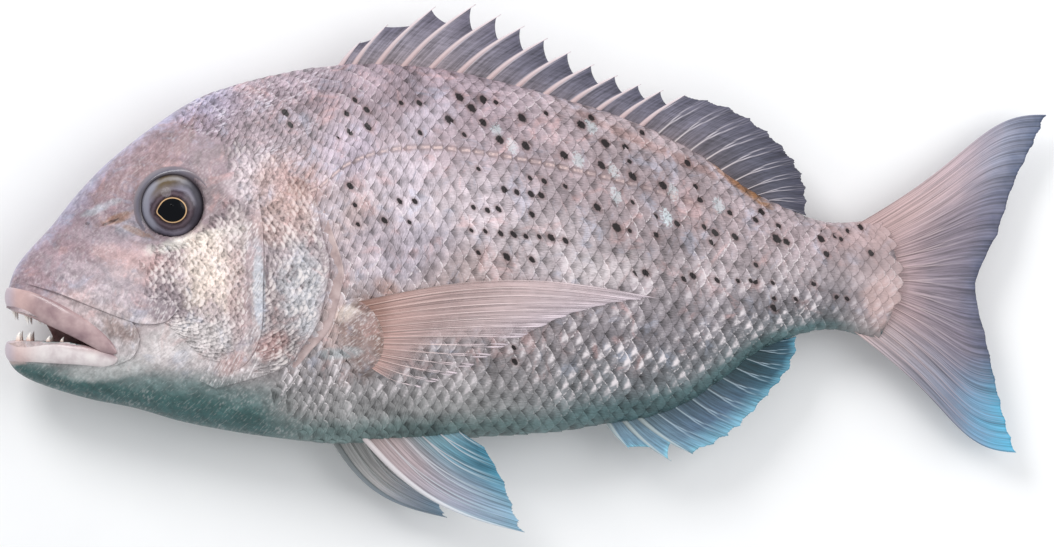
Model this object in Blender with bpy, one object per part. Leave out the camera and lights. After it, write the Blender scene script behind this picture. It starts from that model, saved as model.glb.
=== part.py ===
"""A whole raw sea bream, lying on its right side with its left side up.

The fish is one solid: the body is a loft of lens-shaped sections, and the fins, jaws, gill covers and teeth
are fused to it. The two eyeballs are solids of their own, seated in their sockets.
+X runs from the snout to the tail, +Y towards the back fin and +Z up from the table, through the fish's left
side. Sizes are in millimetres, from the tip of the snout and from the axis of the fish.
"""

import math

import bmesh
import bpy

MM = 0.001

# Driving dimensions
TOTAL_LENGTH = 450.0  # snout to the tips of the tail
MID_HEIGHT = 27.2  # the fish's middle plane above the table
TAIL_SAG = 13.0  # how far the tail tips hang below that plane
SAG_FROM = 200.0  # where the sag begins, from the snout
REST_BLEND = 0.8  # rounding where the flank flattens on the table
FIN_FLOOR = 0.35  # nothing but the flank comes lower than this

BODY_START = 1.0
BODY_END = 376.0
BODY_BULGE = 9.0  # how far the body's end bulges back between the roots of the tail's rays
BULGE_FROM = 345.0
BODY_RINGS = 50
RING_POINTS = 32

# Outline of the body: distance from the snout, height above or below the axis
BACK = [
    (0, -16), (2.2, -6.7), (4.7, -0.2), (9.9, 6.7), (20.2, 17.9), (30.1, 30.4), (43.1, 44.1), (62.4, 59.6),
    (81.8, 72.1), (101.2, 79.0), (127, 85.0), (146.4, 87.2), (160.6, 87.5), (175.7, 86.6), (192.9, 84.5),
    (216.2, 79.1), (239, 73.0), (270.9, 62.5), (298.4, 48.8), (320.4, 33.5), (342.8, 22.8), (355.3, 19.4),
    (372.5, 20.4), (388, 23.5),
]
BELLY = [
    (0, -34), (2.2, -41.1), (7.3, -46.3), (17.7, -51.0), (36.6, -56.6), (56, -60.5), (75.4, -66.1),
    (94.7, -70.0), (114.1, -73.0), (140, -75.6), (161.5, -74.9), (198.5, -73.2), (239, -70.4),
    (255.4, -67.6), (273.9, -64.8), (285.9, -61.4), (298.8, -54.9), (310.9, -46.2), (324, -36.0),
    (339.3, -29.6), (353.1, -26.6), (360.9, -27.2), (372.5, -30.6), (388, -34.5),
]
HALF_WIDTH = [
    (0, 3.2), (2, 7.2), (6, 10.8), (15, 14.2), (30, 18), (50, 21.5), (73, 24.5), (100, 26.8), (130, 28.8),
    (160, 29.5), (200, 28.9), (240, 26), (280, 21), (310, 16), (340, 11), (360, 8), (375, 4.2), (388, 2),
]
WIDEST = [(0, -24), (40, -14), (80, -4), (130, 6), (220, 6), (300, 2), (350, -3), (388, -5)]
BACK_TAPER = [(0, 0.8), (60, 0.95), (130, 1.3), (260, 1.35), (388, 1.15)]
BELLY_TAPER = [(0, 0.7), (60, 0.78), (130, 0.95), (260, 1.0), (388, 1.0)]

# Eyes
EYE_CENTRE = (73.4, 26.3)
EYE_RADIUS = 14.2
EYE_DEPTH = 10.0
EYE_SINK = 5.6
SOCKET_GAP = 0.3

# Jaws: height of the lips' middle lines by distance from the snout, and half of their height from the corner
# of the mouth to the front
UPPER_LIP = [(1.94, -12.9), (6, -13.8), (12.9, -15.6), (23.7, -20.3), (34.5, -26.0), (43, -32.5), (46.5, -36.6)]
UPPER_LIP_SIZE = [(0, 3.0), (0.15, 4.8), (0.45, 6.0), (0.75, 5.4), (1, 4.6)]
LOWER_LIP = [(1.9, -35.6), (12.9, -35.9), (23.7, -36.4), (34.5, -37.2), (41, -38.6), (46, -39.8)]
LOWER_LIP_SIZE = [(0, 2.2), (0.2, 3.4), (0.5, 4.3), (0.8, 4.5), (1, 4.2)]
LIP_OUTWARD = 1.8
LIP_INWARD = 2.0
GAPE = [(44, -35.0), (30, -27.0), (14, -21.0), (-6, -15.5), (-6, -33.5), (10, -31.6), (29, -32.0), (42, -35.4)]
TONGUE = [(11.4, -17.5), (17.6, -30), (22, -40), (51, -43), (51, -30), (30, -22), (15, -14.5)]
TONGUE_HALF = 6.0

# Canine teeth: distance from the snout, gum height, length down (or up, if negative) and root radius
UPPER_TEETH = [(4.2, -15.5, 7.2, 1.3), (9.9, -18.0, 6.6, 1.3), (15.5, -20.5, 4.2, 1.1)]
LOWER_TEETH = [(6.2, -31.8, -4.6, 1.1), (10.9, -31.6, -4.0, 1.1), (19.5, -31.8, -2.6, 1.0)]

# Fins along the back and belly: the roots' distance from the snout and the tips' places, by number of the ray
DORSAL_ROOTS = [(0, 142.8), (1, 148.5), (2, 157.8), (4, 179.9), (7, 217), (10, 251.6), (12, 270.9), (16, 298.3),
                (19, 315.4), (22, 323)]
DORSAL_TIPS = [(0, 153.3, 97.3), (1, 164.9, 104.6), (2, 185.4, 112.3), (3, 202.8, 113.4), (4, 213.6, 109.0),
               (6, 233.8, 98.8), (8, 253.8, 87.4), (10, 273.9, 78.9), (12, 293.1, 74.3), (14, 312.4, 69.2),
               (16, 328.8, 58.8), (18, 340.4, 46.3), (20, 345.3, 34.7), (22, 345.3, 22.4)]
DORSAL_SPINES = 13
DORSAL_RAYS = 23
ANAL_ROOTS = [(0, 258.4), (2, 269.4), (5, 292.4), (8, 310.9), (11, 322)]
ANAL_TIPS = [(0, 269, -78.2), (1, 287, -83.4), (2, 296.4, -80.4), (3, 305.6, -76.4), (5, 317.1, -68.2), (7, 329, -55.2),
             (9, 338.4, -43.6), (10, 341.4, -35.8), (11, 341.4, -29.6)]
ANAL_SPINES = 3
ANAL_RAYS = 12

# Tail, pectoral and pelvic fins: by a share of the fin's spread, the roots and tips of the rays
TAIL_ROOTS = [(0, 362.2, 15.7), (0.15, 373.4, 13.6), (0.35, 381, 5.4), (0.5, 383.7, -5.4),
              (0.65, 381, -14), (0.85, 373.4, -21.8), (1, 362.2, -24.8)]
TAIL_TIPS = [(0, 450, 66.1), (0.125, 444.3, 53.5), (0.25, 435.5, 35.8), (0.375, 428.3, 14.2), (0.5, 418.6, -6.7),
             (0.625, 422.9, -28), (0.75, 427.3, -47.8), (0.875, 432, -66.4), (1, 436.6, -80.1)]
TAIL_RAYS = 17
TAIL_BOW = 6.9

PECTORAL_ROOTS = [(0, 155.5, -14.6), (0.5, 160.6, -29.0), (1, 159.5, -43.0)]
PECTORAL_TIPS = [(0, 280.8, -13.1), (0.2, 262, -15.5), (0.4, 240, -21.5), (0.6, 218, -32.5), (0.8, 199, -43.5),
                 (1, 179, -51.5)]
PECTORAL_BOW = [(0, 8.5), (0.3, 2.0), (1, -1.5)]
PECTORAL_RAYS = 12
PECTORAL_STAND = 1.9  # how far the folded fin stands off the flank

LEFT_PELVIC_ROOTS = [(0, 155.4, -71.5), (1, 196, -70.5)]
LEFT_PELVIC_TIPS = [(0, 223.9, -113.4), (0.3, 220.3, -105.6), (0.6, 215.5, -92.2), (0.85, 210, -82.6), (1, 206.5, -77)]
RIGHT_PELVIC_ROOTS = [(0, 143, -73), (1, 172, -71.5)]
RIGHT_PELVIC_TIPS = [(0, 190.2, -108.2), (0.35, 188, -104), (0.7, 182, -90), (1, 176, -76)]
PELVIC_RAYS = 6
PELVIC_BOW = -8.5
PELVIC_ROOT_OFFSET = 5.0
PELVIC_SPLAY = 9.0

MEMBRANE = 0.55  # half of a membrane's thickness
RAY = 1.0  # half of a ray's thickness at its root
FIN_SINK = 6.0  # how far a fin's root lies inside the body
STANDING_BOW = 0.05  # how far the rays of the back and belly fins bow, as a share of their length

# Bony plates of the head, from the front or top to the throat: a line under the skin and the free edge
GILL_INNER = [(0, 112, 36), (0.3, 106, 8), (0.6, 104, -20), (0.85, 98, -37), (1, 80, -46)]
GILL_EDGE = [(0, 134.3, 34.0), (0.14, 136.3, 20.1), (0.32, 140.7, 2.4), (0.45, 140.2, -5.6), (0.6, 136.3, -22.4),
             (0.72, 130.3, -32.3), (0.85, 120.5, -43.1), (1, 92, -51.9)]
CHEEK_INNER = [(0, 100, 30), (0.5, 95, -5), (1, 82, -38)]
CHEEK_EDGE = [(0, 110, 31), (0.2, 112.4, 14), (0.5, 112.4, -10), (0.75, 111, -30), (0.88, 104, -42), (1, 90, -48)]
SNOUT_INNER = [(0, 8, -1), (0.3, 24, 2), (0.6, 42, -3), (1, 70, -8)]
SNOUT_EDGE = [(0, 6, -6), (0.25, 22.6, -10.5), (0.5, 40.3, -17.4), (0.68, 53.2, -22.3), (0.8, 61.1, -24.3),
              (0.92, 70.5, -23.3), (1, 76, -18.3)]
JAW_INNER = [(0, 22, -18), (0.4, 34.4, -25), (0.75, 42, -32), (1, 43, -38)]
JAW_EDGE = [(0, 28.4, -11), (0.25, 40, -15.5), (0.5, 53, -20.5), (0.7, 59.2, -29), (0.88, 56.8, -38), (1, 49, -42)]
GILL_LIFT = 2.0
CHEEK_LIFT = 0.9
SNOUT_LIFT = 1.4
JAW_LIFT = 1.2

OFFSET_X = TOTAL_LENGTH / 2

SKIN_COLOUR = (0.56, 0.47, 0.46, 1)
EYE_COLOUR = (0.03, 0.03, 0.04, 1)


def curve(keys, at):
    """The value at a place on a smooth curve through keys, each a place and a value."""
    if at <= keys[0][0]:
        return keys[0][1]
    if at >= keys[-1][0]:
        return keys[-1][1]
    i = 0
    while at > keys[i + 1][0]:
        i += 1
    slopes = []
    for k in (i, i + 1):
        low, high = keys[max(k - 1, 0)], keys[min(k + 1, len(keys) - 1)]
        slopes.append((high[1] - low[1]) / (high[0] - low[0]))
    (x0, y0), (x1, y1) = keys[i], keys[i + 1]
    span, rise = x1 - x0, y1 - y0
    t = (at - x0) / span
    first, second = span * slopes[0], span * slopes[1]
    return y0 + t * (first + t * (3 * rise - 2 * first - second + t * (first + second - 2 * rise)))


def path(keys, at):
    """The point at a place on a smooth path through keys, each a place, a distance and a height."""
    return (curve([(k[0], k[1]) for k in keys], at), curve([(k[0], k[2]) for k in keys], at))


def blend(a, b, t):
    """The point a share t of the way from a to b."""
    return (a[0] + (b[0] - a[0]) * t, a[1] + (b[1] - a[1]) * t)


def middle(x):
    """Height of the fish's middle plane above the table."""
    past = max(0.0, x - SAG_FROM) / (TOTAL_LENGTH - SAG_FROM)
    return MID_HEIGHT - TAIL_SAG * past * past


def half_depth(x, y):
    """Distance from the middle plane to the skin at a place of the side view."""
    top, bottom, widest = curve(BACK, x), curve(BELLY, x), curve(WIDEST, x)
    if y > widest:
        sine, taper = (y - widest) / (top - widest), curve(BACK_TAPER, x)
    else:
        sine, taper = (widest - y) / (widest - bottom), curve(BELLY_TAPER, x)
    cosine = math.sqrt(max(0.0, 1 - min(sine, 1.0) ** 2))
    return curve(HALF_WIDTH, x) * cosine**taper


def pressed(z):
    """A height on the skin once the table has flattened the flank that rests on it."""
    if z < -REST_BLEND:
        return 0.0
    if z < REST_BLEND:
        return (z + REST_BLEND) ** 2 / (4 * REST_BLEND)
    return z


def mesh_object(name, points, faces):
    """An object of points in millimetres, with its faces turned outwards."""
    mesh = bpy.data.meshes.new(name)
    mesh.from_pydata([((x - OFFSET_X) * MM, y * MM, z * MM) for x, y, z in points], [], faces)
    shape = bmesh.new()
    shape.from_mesh(mesh)
    bmesh.ops.triangulate(shape, faces=[f for f in shape.faces if len(f.verts) > 4])
    bmesh.ops.recalc_face_normals(shape, faces=shape.faces)
    if shape.calc_volume(signed=True) < 0:
        bmesh.ops.reverse_faces(shape, faces=shape.faces)
    shape.to_mesh(mesh)
    shape.free()
    mesh.shade_smooth()
    made = bpy.data.objects.new(name, mesh)
    bpy.context.scene.collection.objects.link(made)
    return made


def tube_faces(rings, sides):
    """Faces of a closed tube of rings, with a cap at each end."""
    faces = [tuple(range(sides)), tuple(range((rings - 1) * sides, rings * sides))]
    for i in range(rings - 1):
        for j in range(sides):
            k = (j + 1) % sides
            faces.append((i * sides + j, i * sides + k, (i + 1) * sides + k, (i + 1) * sides + j))
    return faces


def sheet_faces(columns, rows):
    """Faces of a closed sheet: a front layer and a back layer of columns, joined round their edge."""
    size = columns * rows
    faces = []
    for layer in (0, size):
        for i in range(columns - 1):
            for j in range(rows - 1):
                a = layer + i * rows + j
                faces.append((a, a + 1, a + rows + 1, a + rows))
    for j in range(rows - 1):
        for a in (j, size - rows + j):
            faces.append((a, a + 1, size + a + 1, size + a))
    for i in range(columns - 1):
        for a in (i * rows, i * rows + rows - 1):
            faces.append((a, a + rows, size + a + rows, size + a))
    return faces


def body():
    """The trunk and head, lofted from lens-shaped sections that lean on the table."""
    points = []
    for i in range(BODY_RINGS):
        t = i / (BODY_RINGS - 1)
        x = BODY_START + (BODY_END - BODY_START) * (0.35 * t + 0.65 * t * t)
        top, bottom, widest = curve(BACK, x), curve(BELLY, x), curve(WIDEST, x)
        for j in range(RING_POINTS):
            angle = 2 * math.pi * j / RING_POINTS
            sine, cosine = math.sin(angle), math.cos(angle)
            y = widest + sine * (top - widest if sine > 0 else widest - bottom)
            bulge = BODY_BULGE * max(0.0, (x - BULGE_FROM) / (BODY_END - BULGE_FROM)) ** 2 * cosine * cosine
            points.append((x + bulge, y, pressed(middle(x) + math.copysign(half_depth(x, y), cosine))))
    return mesh_object("fish", points, tube_faces(BODY_RINGS, RING_POINTS))


def prism(name, outline, low, high):
    """A block with that outline in the side view, from one height above the table to another."""
    points = [(x, y, z) for z in (low, high) for x, y in outline]
    return mesh_object(name, points, tube_faces(2, len(outline)))


def eyeball(name, side, grow, segments=20, rings=10):
    """A flattened ball in the eye socket of one side, 1 for the left and -1 for the right."""
    x, y = EYE_CENTRE
    z = middle(x) + side * (half_depth(x, y) - EYE_SINK)
    radius, depth = EYE_RADIUS + grow, EYE_DEPTH + grow
    points = []
    for i in range(1, rings):
        polar = math.pi * i / rings
        for j in range(segments):
            turn = 2 * math.pi * (j + 0.5) / segments
            across = radius * math.sin(polar)
            points.append((x + across * math.cos(turn), y + across * math.sin(turn), z + depth * math.cos(polar)))
    faces = tube_faces(rings - 1, segments)[2:]
    last = len(points)
    points += [(x, y, z + depth), (x, y, z - depth)]
    for j in range(segments):
        k = (j + 1) % segments
        faces.append((last, j, k))
        faces.append((last + 1, last - segments + k, last - segments + j))
    return mesh_object(name, points, faces)


def lip(name, line, sizes, steps=9, sides=8):
    """A fleshy lip, swept round the front of the jaw from one corner of the mouth to the other."""
    front, corner = line[0][0], line[-1][0]
    route = []
    for i in range(-steps, steps + 1):
        share = abs(i) / steps
        x = front + (corner - front) * share**1.8
        y = curve(line, x)
        out = max(0.0, half_depth(x, y) - 1.6) if i else 0.0
        route.append((x, y, math.copysign(out, -i), curve(sizes, 1 - share)))
    points = []
    for i, (x, y, z, tall) in enumerate(route):
        before, after = route[max(i - 1, 0)], route[min(i + 1, len(route) - 1)]
        along = (after[0] - before[0], after[2] - before[2])
        length = math.hypot(*along)
        for j in range(sides):
            turn = 2 * math.pi * j / sides
            reach = math.cos(turn)
            reach *= LIP_OUTWARD * (0.5 + tall / 8) if reach > 0 else LIP_INWARD
            points.append((
                x + along[1] / length * reach,
                y + tall * math.sin(turn),
                middle(x) + z - along[0] / length * reach,
            ))
    return mesh_object(name, points, tube_faces(len(route), sides))


def teeth(name, row, sides=6):
    """A row of canines on both sides of one jaw."""
    made = []
    for x, gum, length, radius in row:
        for side in (1, -1):
            z = middle(x) + side * max(3.6, half_depth(x, gum) - 3.4)
            points = []
            for level, wide in ((-2.2, 1.0), (0.35 * abs(length), 0.95), (0.75 * abs(length), 0.6), (abs(length), 0.2)):
                y = gum - math.copysign(level, length) if level > 0 else gum + math.copysign(-level, length)
                for j in range(sides):
                    turn = 2 * math.pi * j / sides
                    points.append((x + radius * wide * math.cos(turn), y, z + radius * wide * math.sin(turn)))
            made.append(mesh_object(f"{name}_{len(made)}", points, tube_faces(4, sides)))
    return made


def plate(name, side, inner, edge, lift, across=4, along=10):
    """A bony plate of the head, which stands off the skin at its free edge."""
    points = []
    for layer in (0, 1):
        for i in range(along + 1):
            down = i / along
            rise = lift * min(1.0, 0.3 + 4 * down, 0.3 + 3 * (1 - down))
            for j in range(across + 1):
                t = j / across
                x, y = blend(path(inner, down), path(edge, down), t)
                stand = -4.0 if layer else -1.2 + (rise + 1.2) * t**0.8
                points.append((x, y, max(middle(x) + side * (half_depth(x, y) + stand), FIN_FLOOR)))
    return mesh_object(name, points, sheet_faces(along + 1, across + 1))


def plates():
    """The gill covers, cheeks, snout plates and upper jaw bones of both sides."""
    made = []
    for side in (1, -1):
        made.append(plate("gill_cover", side, GILL_INNER, GILL_EDGE, GILL_LIFT, 6, 14))
        made.append(plate("cheek_bone", side, CHEEK_INNER, CHEEK_EDGE, CHEEK_LIFT, 2, 8))
        made.append(plate("snout_bone", side, SNOUT_INNER, SNOUT_EDGE, SNOUT_LIFT, 3, 10))
        made.append(plate("jaw_bone", side, JAW_INNER, JAW_EDGE, JAW_LIFT, 3, 8))
    return made


def bowed(ray, t):
    """The point a share t of the way up a ray, given by its root, its tip, how far it bows and how near its tip."""
    root, tip, bow, late = ray
    bend = bow * math.sin(math.pi * t**late) / math.dist(root, tip)
    x, y = blend(root, tip, t)
    return (x - (tip[1] - root[1]) * bend, y + (tip[0] - root[0]) * bend)


def between(ray, next_ray, share, reach, next_reach, steps):
    """A line of membrane between two rays, up to a share of the length of each."""
    return [
        blend(bowed(ray, reach * i / steps), bowed(next_ray, next_reach * i / steps), share) for i in range(steps + 1)
    ]


def fin(name, rays, top, bottom, spines=0, steps=5, dip=0.05, ray=RAY, membrane=MEMBRANE):
    """A fin with a ridge at each ray and thin membrane between them.

    Behind each of the first spines the membrane dips, so that the spine's point stands free. top and bottom
    give the heights of the fin's two faces at a place of the side view, for a half-thickness there.
    """
    columns = []
    for i, own in enumerate(rays):
        columns.append((between(own, own, 0, 1, 1, steps), ray))
        if i + 1 == len(rays):
            break
        if i < spines:
            columns.append((between(own, rays[i + 1], 0.3, 0.92, 0.74, steps), membrane))
            columns.append((between(own, rays[i + 1], 0.88, 0.82, 0.7, steps), membrane))
        else:
            columns.append((between(own, rays[i + 1], 0.5, 1 - dip, 1 - dip, steps), membrane))
    points = []
    for face in (top, bottom):
        for line, thick in columns:
            for j, (x, y) in enumerate(line):
                t = j / steps
                points.append((x, y, face(x, y, t, thick + (membrane - thick) * t)))
    return mesh_object(name, points, sheet_faces(len(columns), steps + 1))


def standing(count, roots, tips, base, up):
    """Rays that stand along the back, or along the belly where up is -1."""
    rays = []
    for i in range(count):
        x, tip = curve(roots, i), path(tips, i)
        root = (x - 1.5, curve(base, x) - up * FIN_SINK)
        rays.append((root, tip, up * STANDING_BOW * math.dist(root, tip), 1))
    return rays


def spread(count, roots, tips, bow, sink, late=1):
    """Rays that fan out from a short root."""
    rays = []
    for i in range(count):
        t = i / (count - 1)
        root, tip = path(roots, t), path(tips, t)
        rays.append((blend(root, tip, -sink / math.dist(root, tip)), tip, curve(bow, t), late))
    return rays


def upright(x, t):
    """Height of the middle of a fin on the fish's middle plane, with a slight wave towards its edge."""
    return middle(x) + 0.9 * t * math.sin(x / 19.0)


def middle_fin(name, rays, **shape):
    """A fin that stands on the fish's middle plane."""
    return fin(
        name, rays, lambda x, y, t, thick: upright(x, t) + thick, lambda x, y, t, thick: upright(x, t) - thick, **shape
    )


def pectoral_fin(name, side):
    """The fin behind the gills, folded back on the flank."""

    def outer(x, y, t, thick):
        stand = PECTORAL_STAND * min(1.0, 0.4 + 3 * t) * (1 - 0.35 * t) + thick
        return max(middle(x) + side * (half_depth(x, y) + stand), FIN_FLOOR)

    def inner(x, y, t, thick):
        return middle(x) + side * (half_depth(x, y) - 2.2)

    rays = spread(PECTORAL_RAYS, PECTORAL_ROOTS, PECTORAL_TIPS, PECTORAL_BOW, 0.0)
    return fin(name, rays, outer, inner, steps=7, dip=0.03, ray=1.1, membrane=0.3)


def pelvic_fin(name, side, roots, tips):
    """One of the pair of fins under the belly, spread to its own side."""

    def level(x, t):
        return middle(x) + side * (PELVIC_ROOT_OFFSET + PELVIC_SPLAY * t)

    rays = spread(PELVIC_RAYS, roots, tips, [(0, PELVIC_BOW), (1, 0)], 5.0)
    return fin(
        name, rays, lambda x, y, t, thick: level(x, t) + thick, lambda x, y, t, thick: level(x, t) - thick,
        steps=5, dip=0.06, ray=1.2,
    )


def material(name, colour, roughness):
    made = bpy.data.materials.new(name)
    made.use_nodes = True
    shader = made.node_tree.nodes["Principled BSDF"]
    shader.inputs["Base Color"].default_value = colour
    shader.inputs["Roughness"].default_value = roughness
    return made


def boolean(target, operation, members, name):
    """Joins members to target, or cuts them from it, applies the result and removes them."""
    group = bpy.data.collections.new(name)
    bpy.context.scene.collection.children.link(group)
    for member in members:
        bpy.context.scene.collection.objects.unlink(member)
        group.objects.link(member)
    step = target.modifiers.new(name, "BOOLEAN")
    step.operation = operation
    step.operand_type = "COLLECTION"
    step.collection = group
    step.solver = "EXACT"
    bpy.context.view_layer.update()
    graph = bpy.context.evaluated_depsgraph_get()
    result = bpy.data.meshes.new_from_object(target.evaluated_get(graph))
    target.modifiers.remove(step)
    target.data = result
    for member in list(group.objects):
        bpy.data.objects.remove(member)
    bpy.data.collections.remove(group)


def main():
    for old in list(bpy.data.objects):
        bpy.data.objects.remove(old)
    fish = body()
    boolean(fish, "DIFFERENCE", [
        prism("gape", GAPE, -5, 2 * MID_HEIGHT + 5),
        eyeball("socket_left", 1, SOCKET_GAP),
        eyeball("socket_right", -1, SOCKET_GAP),
    ], "hollows")
    dorsal = standing(DORSAL_RAYS, DORSAL_ROOTS, DORSAL_TIPS, BACK, 1)
    anal = standing(ANAL_RAYS, ANAL_ROOTS, ANAL_TIPS, BELLY, -1)
    tail = spread(TAIL_RAYS, TAIL_ROOTS, TAIL_TIPS, [(0, TAIL_BOW), (0.5, 0), (1, -TAIL_BOW)], 4.0, late=3)
    boolean(fish, "UNION", [
        prism("tongue", TONGUE, MID_HEIGHT - TONGUE_HALF, MID_HEIGHT + TONGUE_HALF),
        lip("upper_lip", UPPER_LIP, UPPER_LIP_SIZE),
        lip("lower_lip", LOWER_LIP, LOWER_LIP_SIZE),
        *teeth("upper_tooth", UPPER_TEETH),
        *teeth("lower_tooth", LOWER_TEETH),
        *plates(),
        middle_fin("dorsal_fin", dorsal, spines=DORSAL_SPINES - 1, steps=4),
        middle_fin("anal_fin", anal, spines=ANAL_SPINES - 1, steps=4),
        middle_fin("tail_fin", tail, steps=6, dip=0.02, ray=1.5),
        pectoral_fin("pectoral_left", 1),
        pectoral_fin("pectoral_right", -1),
        pelvic_fin("pelvic_left", 1, LEFT_PELVIC_ROOTS, LEFT_PELVIC_TIPS),
        pelvic_fin("pelvic_right", -1, RIGHT_PELVIC_ROOTS, RIGHT_PELVIC_TIPS),
    ], "joined")
    fish.data.materials.clear()
    fish.data.materials.append(material("skin", SKIN_COLOUR, 0.4))
    wet = material("eye", EYE_COLOUR, 0.08)
    for name, side in (("eye_left", 1), ("eye_right", -1)):
        eyeball(name, side, 0.0).data.materials.append(wet)


main()
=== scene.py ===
"""A whole raw sea bream on a pale table: scaled skin, bony head plates, lips, teeth, eyes and fins.

Sizes are in millimetres. x is counted back from the tip of the snout, y up from the axis of the fish towards
the back fin, and z up from the table through the fish's left side.
"""

import math

import bpy
import numpy as np
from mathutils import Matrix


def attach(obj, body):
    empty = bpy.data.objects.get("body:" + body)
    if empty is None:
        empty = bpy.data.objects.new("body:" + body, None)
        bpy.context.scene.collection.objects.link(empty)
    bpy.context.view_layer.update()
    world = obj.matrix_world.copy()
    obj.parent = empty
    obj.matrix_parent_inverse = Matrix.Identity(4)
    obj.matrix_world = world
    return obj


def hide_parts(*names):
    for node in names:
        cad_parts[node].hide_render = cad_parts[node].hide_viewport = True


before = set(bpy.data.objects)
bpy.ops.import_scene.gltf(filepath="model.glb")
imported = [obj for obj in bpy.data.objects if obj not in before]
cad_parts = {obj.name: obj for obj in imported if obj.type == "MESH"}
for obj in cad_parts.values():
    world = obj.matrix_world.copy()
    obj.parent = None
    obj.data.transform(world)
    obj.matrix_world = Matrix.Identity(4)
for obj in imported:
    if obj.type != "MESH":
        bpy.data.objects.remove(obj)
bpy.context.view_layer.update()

MM = 0.001
TOTAL_LENGTH = 450.0
SIDE_NAMES = (("left", 1), ("right", -1))

# How the fish lies
MID_HEIGHT = 27.2
TAIL_SAG = 13.0
SAG_FROM = 200.0
REST_BLEND = 0.8
SKIN_REST = 0.75  # height of the skin over the table where it rests, which leaves room for the scales
FIN_FLOOR = 0.35
SCALE_FLOOR = 0.06

# Where the trunk ends under the tail fin, and how its end is rounded
BODY_END = 376.0
BODY_BULGE = 9.0
BULGE_FROM = 345.0

# Outline of the body: places back from the snout, with heights, half depths or powers
BACK = [
    (0, -16), (2.2, -6.7), (4.7, -0.2), (9.9, 6.7), (20.2, 17.9), (30.1, 30.4), (43.1, 44.1), (62.4, 59.6),
    (81.8, 72.1), (101.2, 79.0), (127, 85.0), (146.4, 87.2), (160.6, 87.5), (175.7, 86.6), (192.9, 84.5),
    (216.2, 79.1), (239, 73.0), (270.9, 62.5), (298.4, 48.8), (320.4, 33.5), (342.8, 22.8), (355.3, 19.4),
    (372.5, 20.4), (388, 23.5),
]
BELLY = [
    (0, -34), (2.2, -41.1), (7.3, -46.3), (17.7, -51.0), (36.6, -56.6), (56, -60.5), (75.4, -66.1),
    (94.7, -70.0), (114.1, -73.0), (140, -75.6), (161.5, -74.9), (198.5, -73.2), (239, -70.4),
    (255.4, -67.6), (273.9, -64.8), (285.9, -61.4), (298.8, -54.9), (310.9, -46.2), (324, -36.0),
    (339.3, -29.6), (353.1, -26.6), (360.9, -27.2), (372.5, -30.6), (388, -34.5),
]
HALF_WIDTH = [
    (0, 3.2), (2, 7.2), (6, 10.8), (15, 14.2), (30, 18), (50, 21.5), (73, 24.5), (100, 26.8), (130, 28.8),
    (160, 29.5), (200, 28.9), (240, 26), (280, 21), (310, 16), (340, 11), (360, 8), (375, 4.2), (388, 2),
]
WIDEST = [(0, -24), (40, -14), (80, -4), (130, 6), (220, 6), (300, 2), (350, -3), (388, -5)]
BACK_TAPER = [(0, 0.8), (60, 0.95), (130, 1.3), (260, 1.35), (388, 1.15)]
BELLY_TAPER = [(0, 0.7), (60, 0.78), (130, 0.95), (260, 1.0), (388, 1.0)]

# Eyes
EYE_CENTRE = (73.4, 26.3)
EYE_RADIUS = 14.2
EYE_DEPTH = 10.0
EYE_SINK = 5.6
CORNEA_RISE = 0.55
CORNEA_RADIUS = 6.5
LID_INNER = 12.9
LID_WIDTH = 4.9
LID_CROWN = 1.0
EYE_CLEAR = 18.6
SOCKET_DEPTH = 4.6
SOCKET_EDGE = (12.4, 14.6)
BROW_RISE = 0.9
WRINKLE_RISE = 0.16

# Hollows and swellings of the head: place, radii, turn and depth
NOSTRIL_SLIT = (49.5, 20.6, 4.6, 1.5, -16, 1.7)
NOSTRIL_HOLE = (36.6, 18.7, 1.0, 0.8, 0, 0.7)
NOSTRIL_FOLD = (57.5, 17.4, 8.0, 1.8, -22, 0.9)
NOSTRIL_RIDGE = (43.5, 19.5, 7.5, 3.6, -10, -0.5)

# Jaws
UPPER_LIP = [
    (1.94, -12.9), (6, -13.8), (12.9, -15.6), (23.7, -20.3), (34.5, -26.0), (43, -31.4), (50.5, -36.4),
]
UPPER_LIP_SIZE = [(0, 0.5), (0.04, 2.8), (0.1, 4.6), (0.3, 5.8), (0.5, 6.0), (0.75, 5.4), (1, 4.6)]
LOWER_LIP = [(1.9, -35.6), (12.9, -35.9), (23.7, -36.4), (34.5, -37.2), (43, -38.6), (51, -39.4)]
LOWER_LIP_SIZE = [(0, 0.5), (0.04, 2.4), (0.1, 3.8), (0.3, 4.5), (0.5, 4.5), (0.8, 4.5), (1, 4.2)]
GAPE = [
    (44, -35.0), (30, -27.0), (14, -21.0), (-6, -15.5), (-6, -33.5), (10, -31.6), (29, -32.0), (42, -35.4),
]
MOUTH_FRONT = [(0, 9.5, -14.5), (0.35, 15.5, -21), (0.6, 20.5, -29.5), (0.8, 21, -34), (1, 22, -41)]
MOUTH_REAR = [(0, 30, -18), (0.5, 48, -29), (1, 52, -43)]
# Each tooth: its place, the height of its gum, its length upwards or downwards and its radius
UPPER_TEETH = [(4.2, -15.5, 7.2, 1.3), (9.9, -18.0, 6.6, 1.3), (15.5, -20.5, 4.2, 1.1), (20, -22.5, 2.6, 0.8)]
LOWER_TEETH = [
    (6.2, -31.8, -4.6, 1.1), (10.9, -31.6, -4.0, 1.1), (19.5, -31.8, -2.6, 1.0), (25.5, -32, -2.2, 0.8),
]

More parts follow.
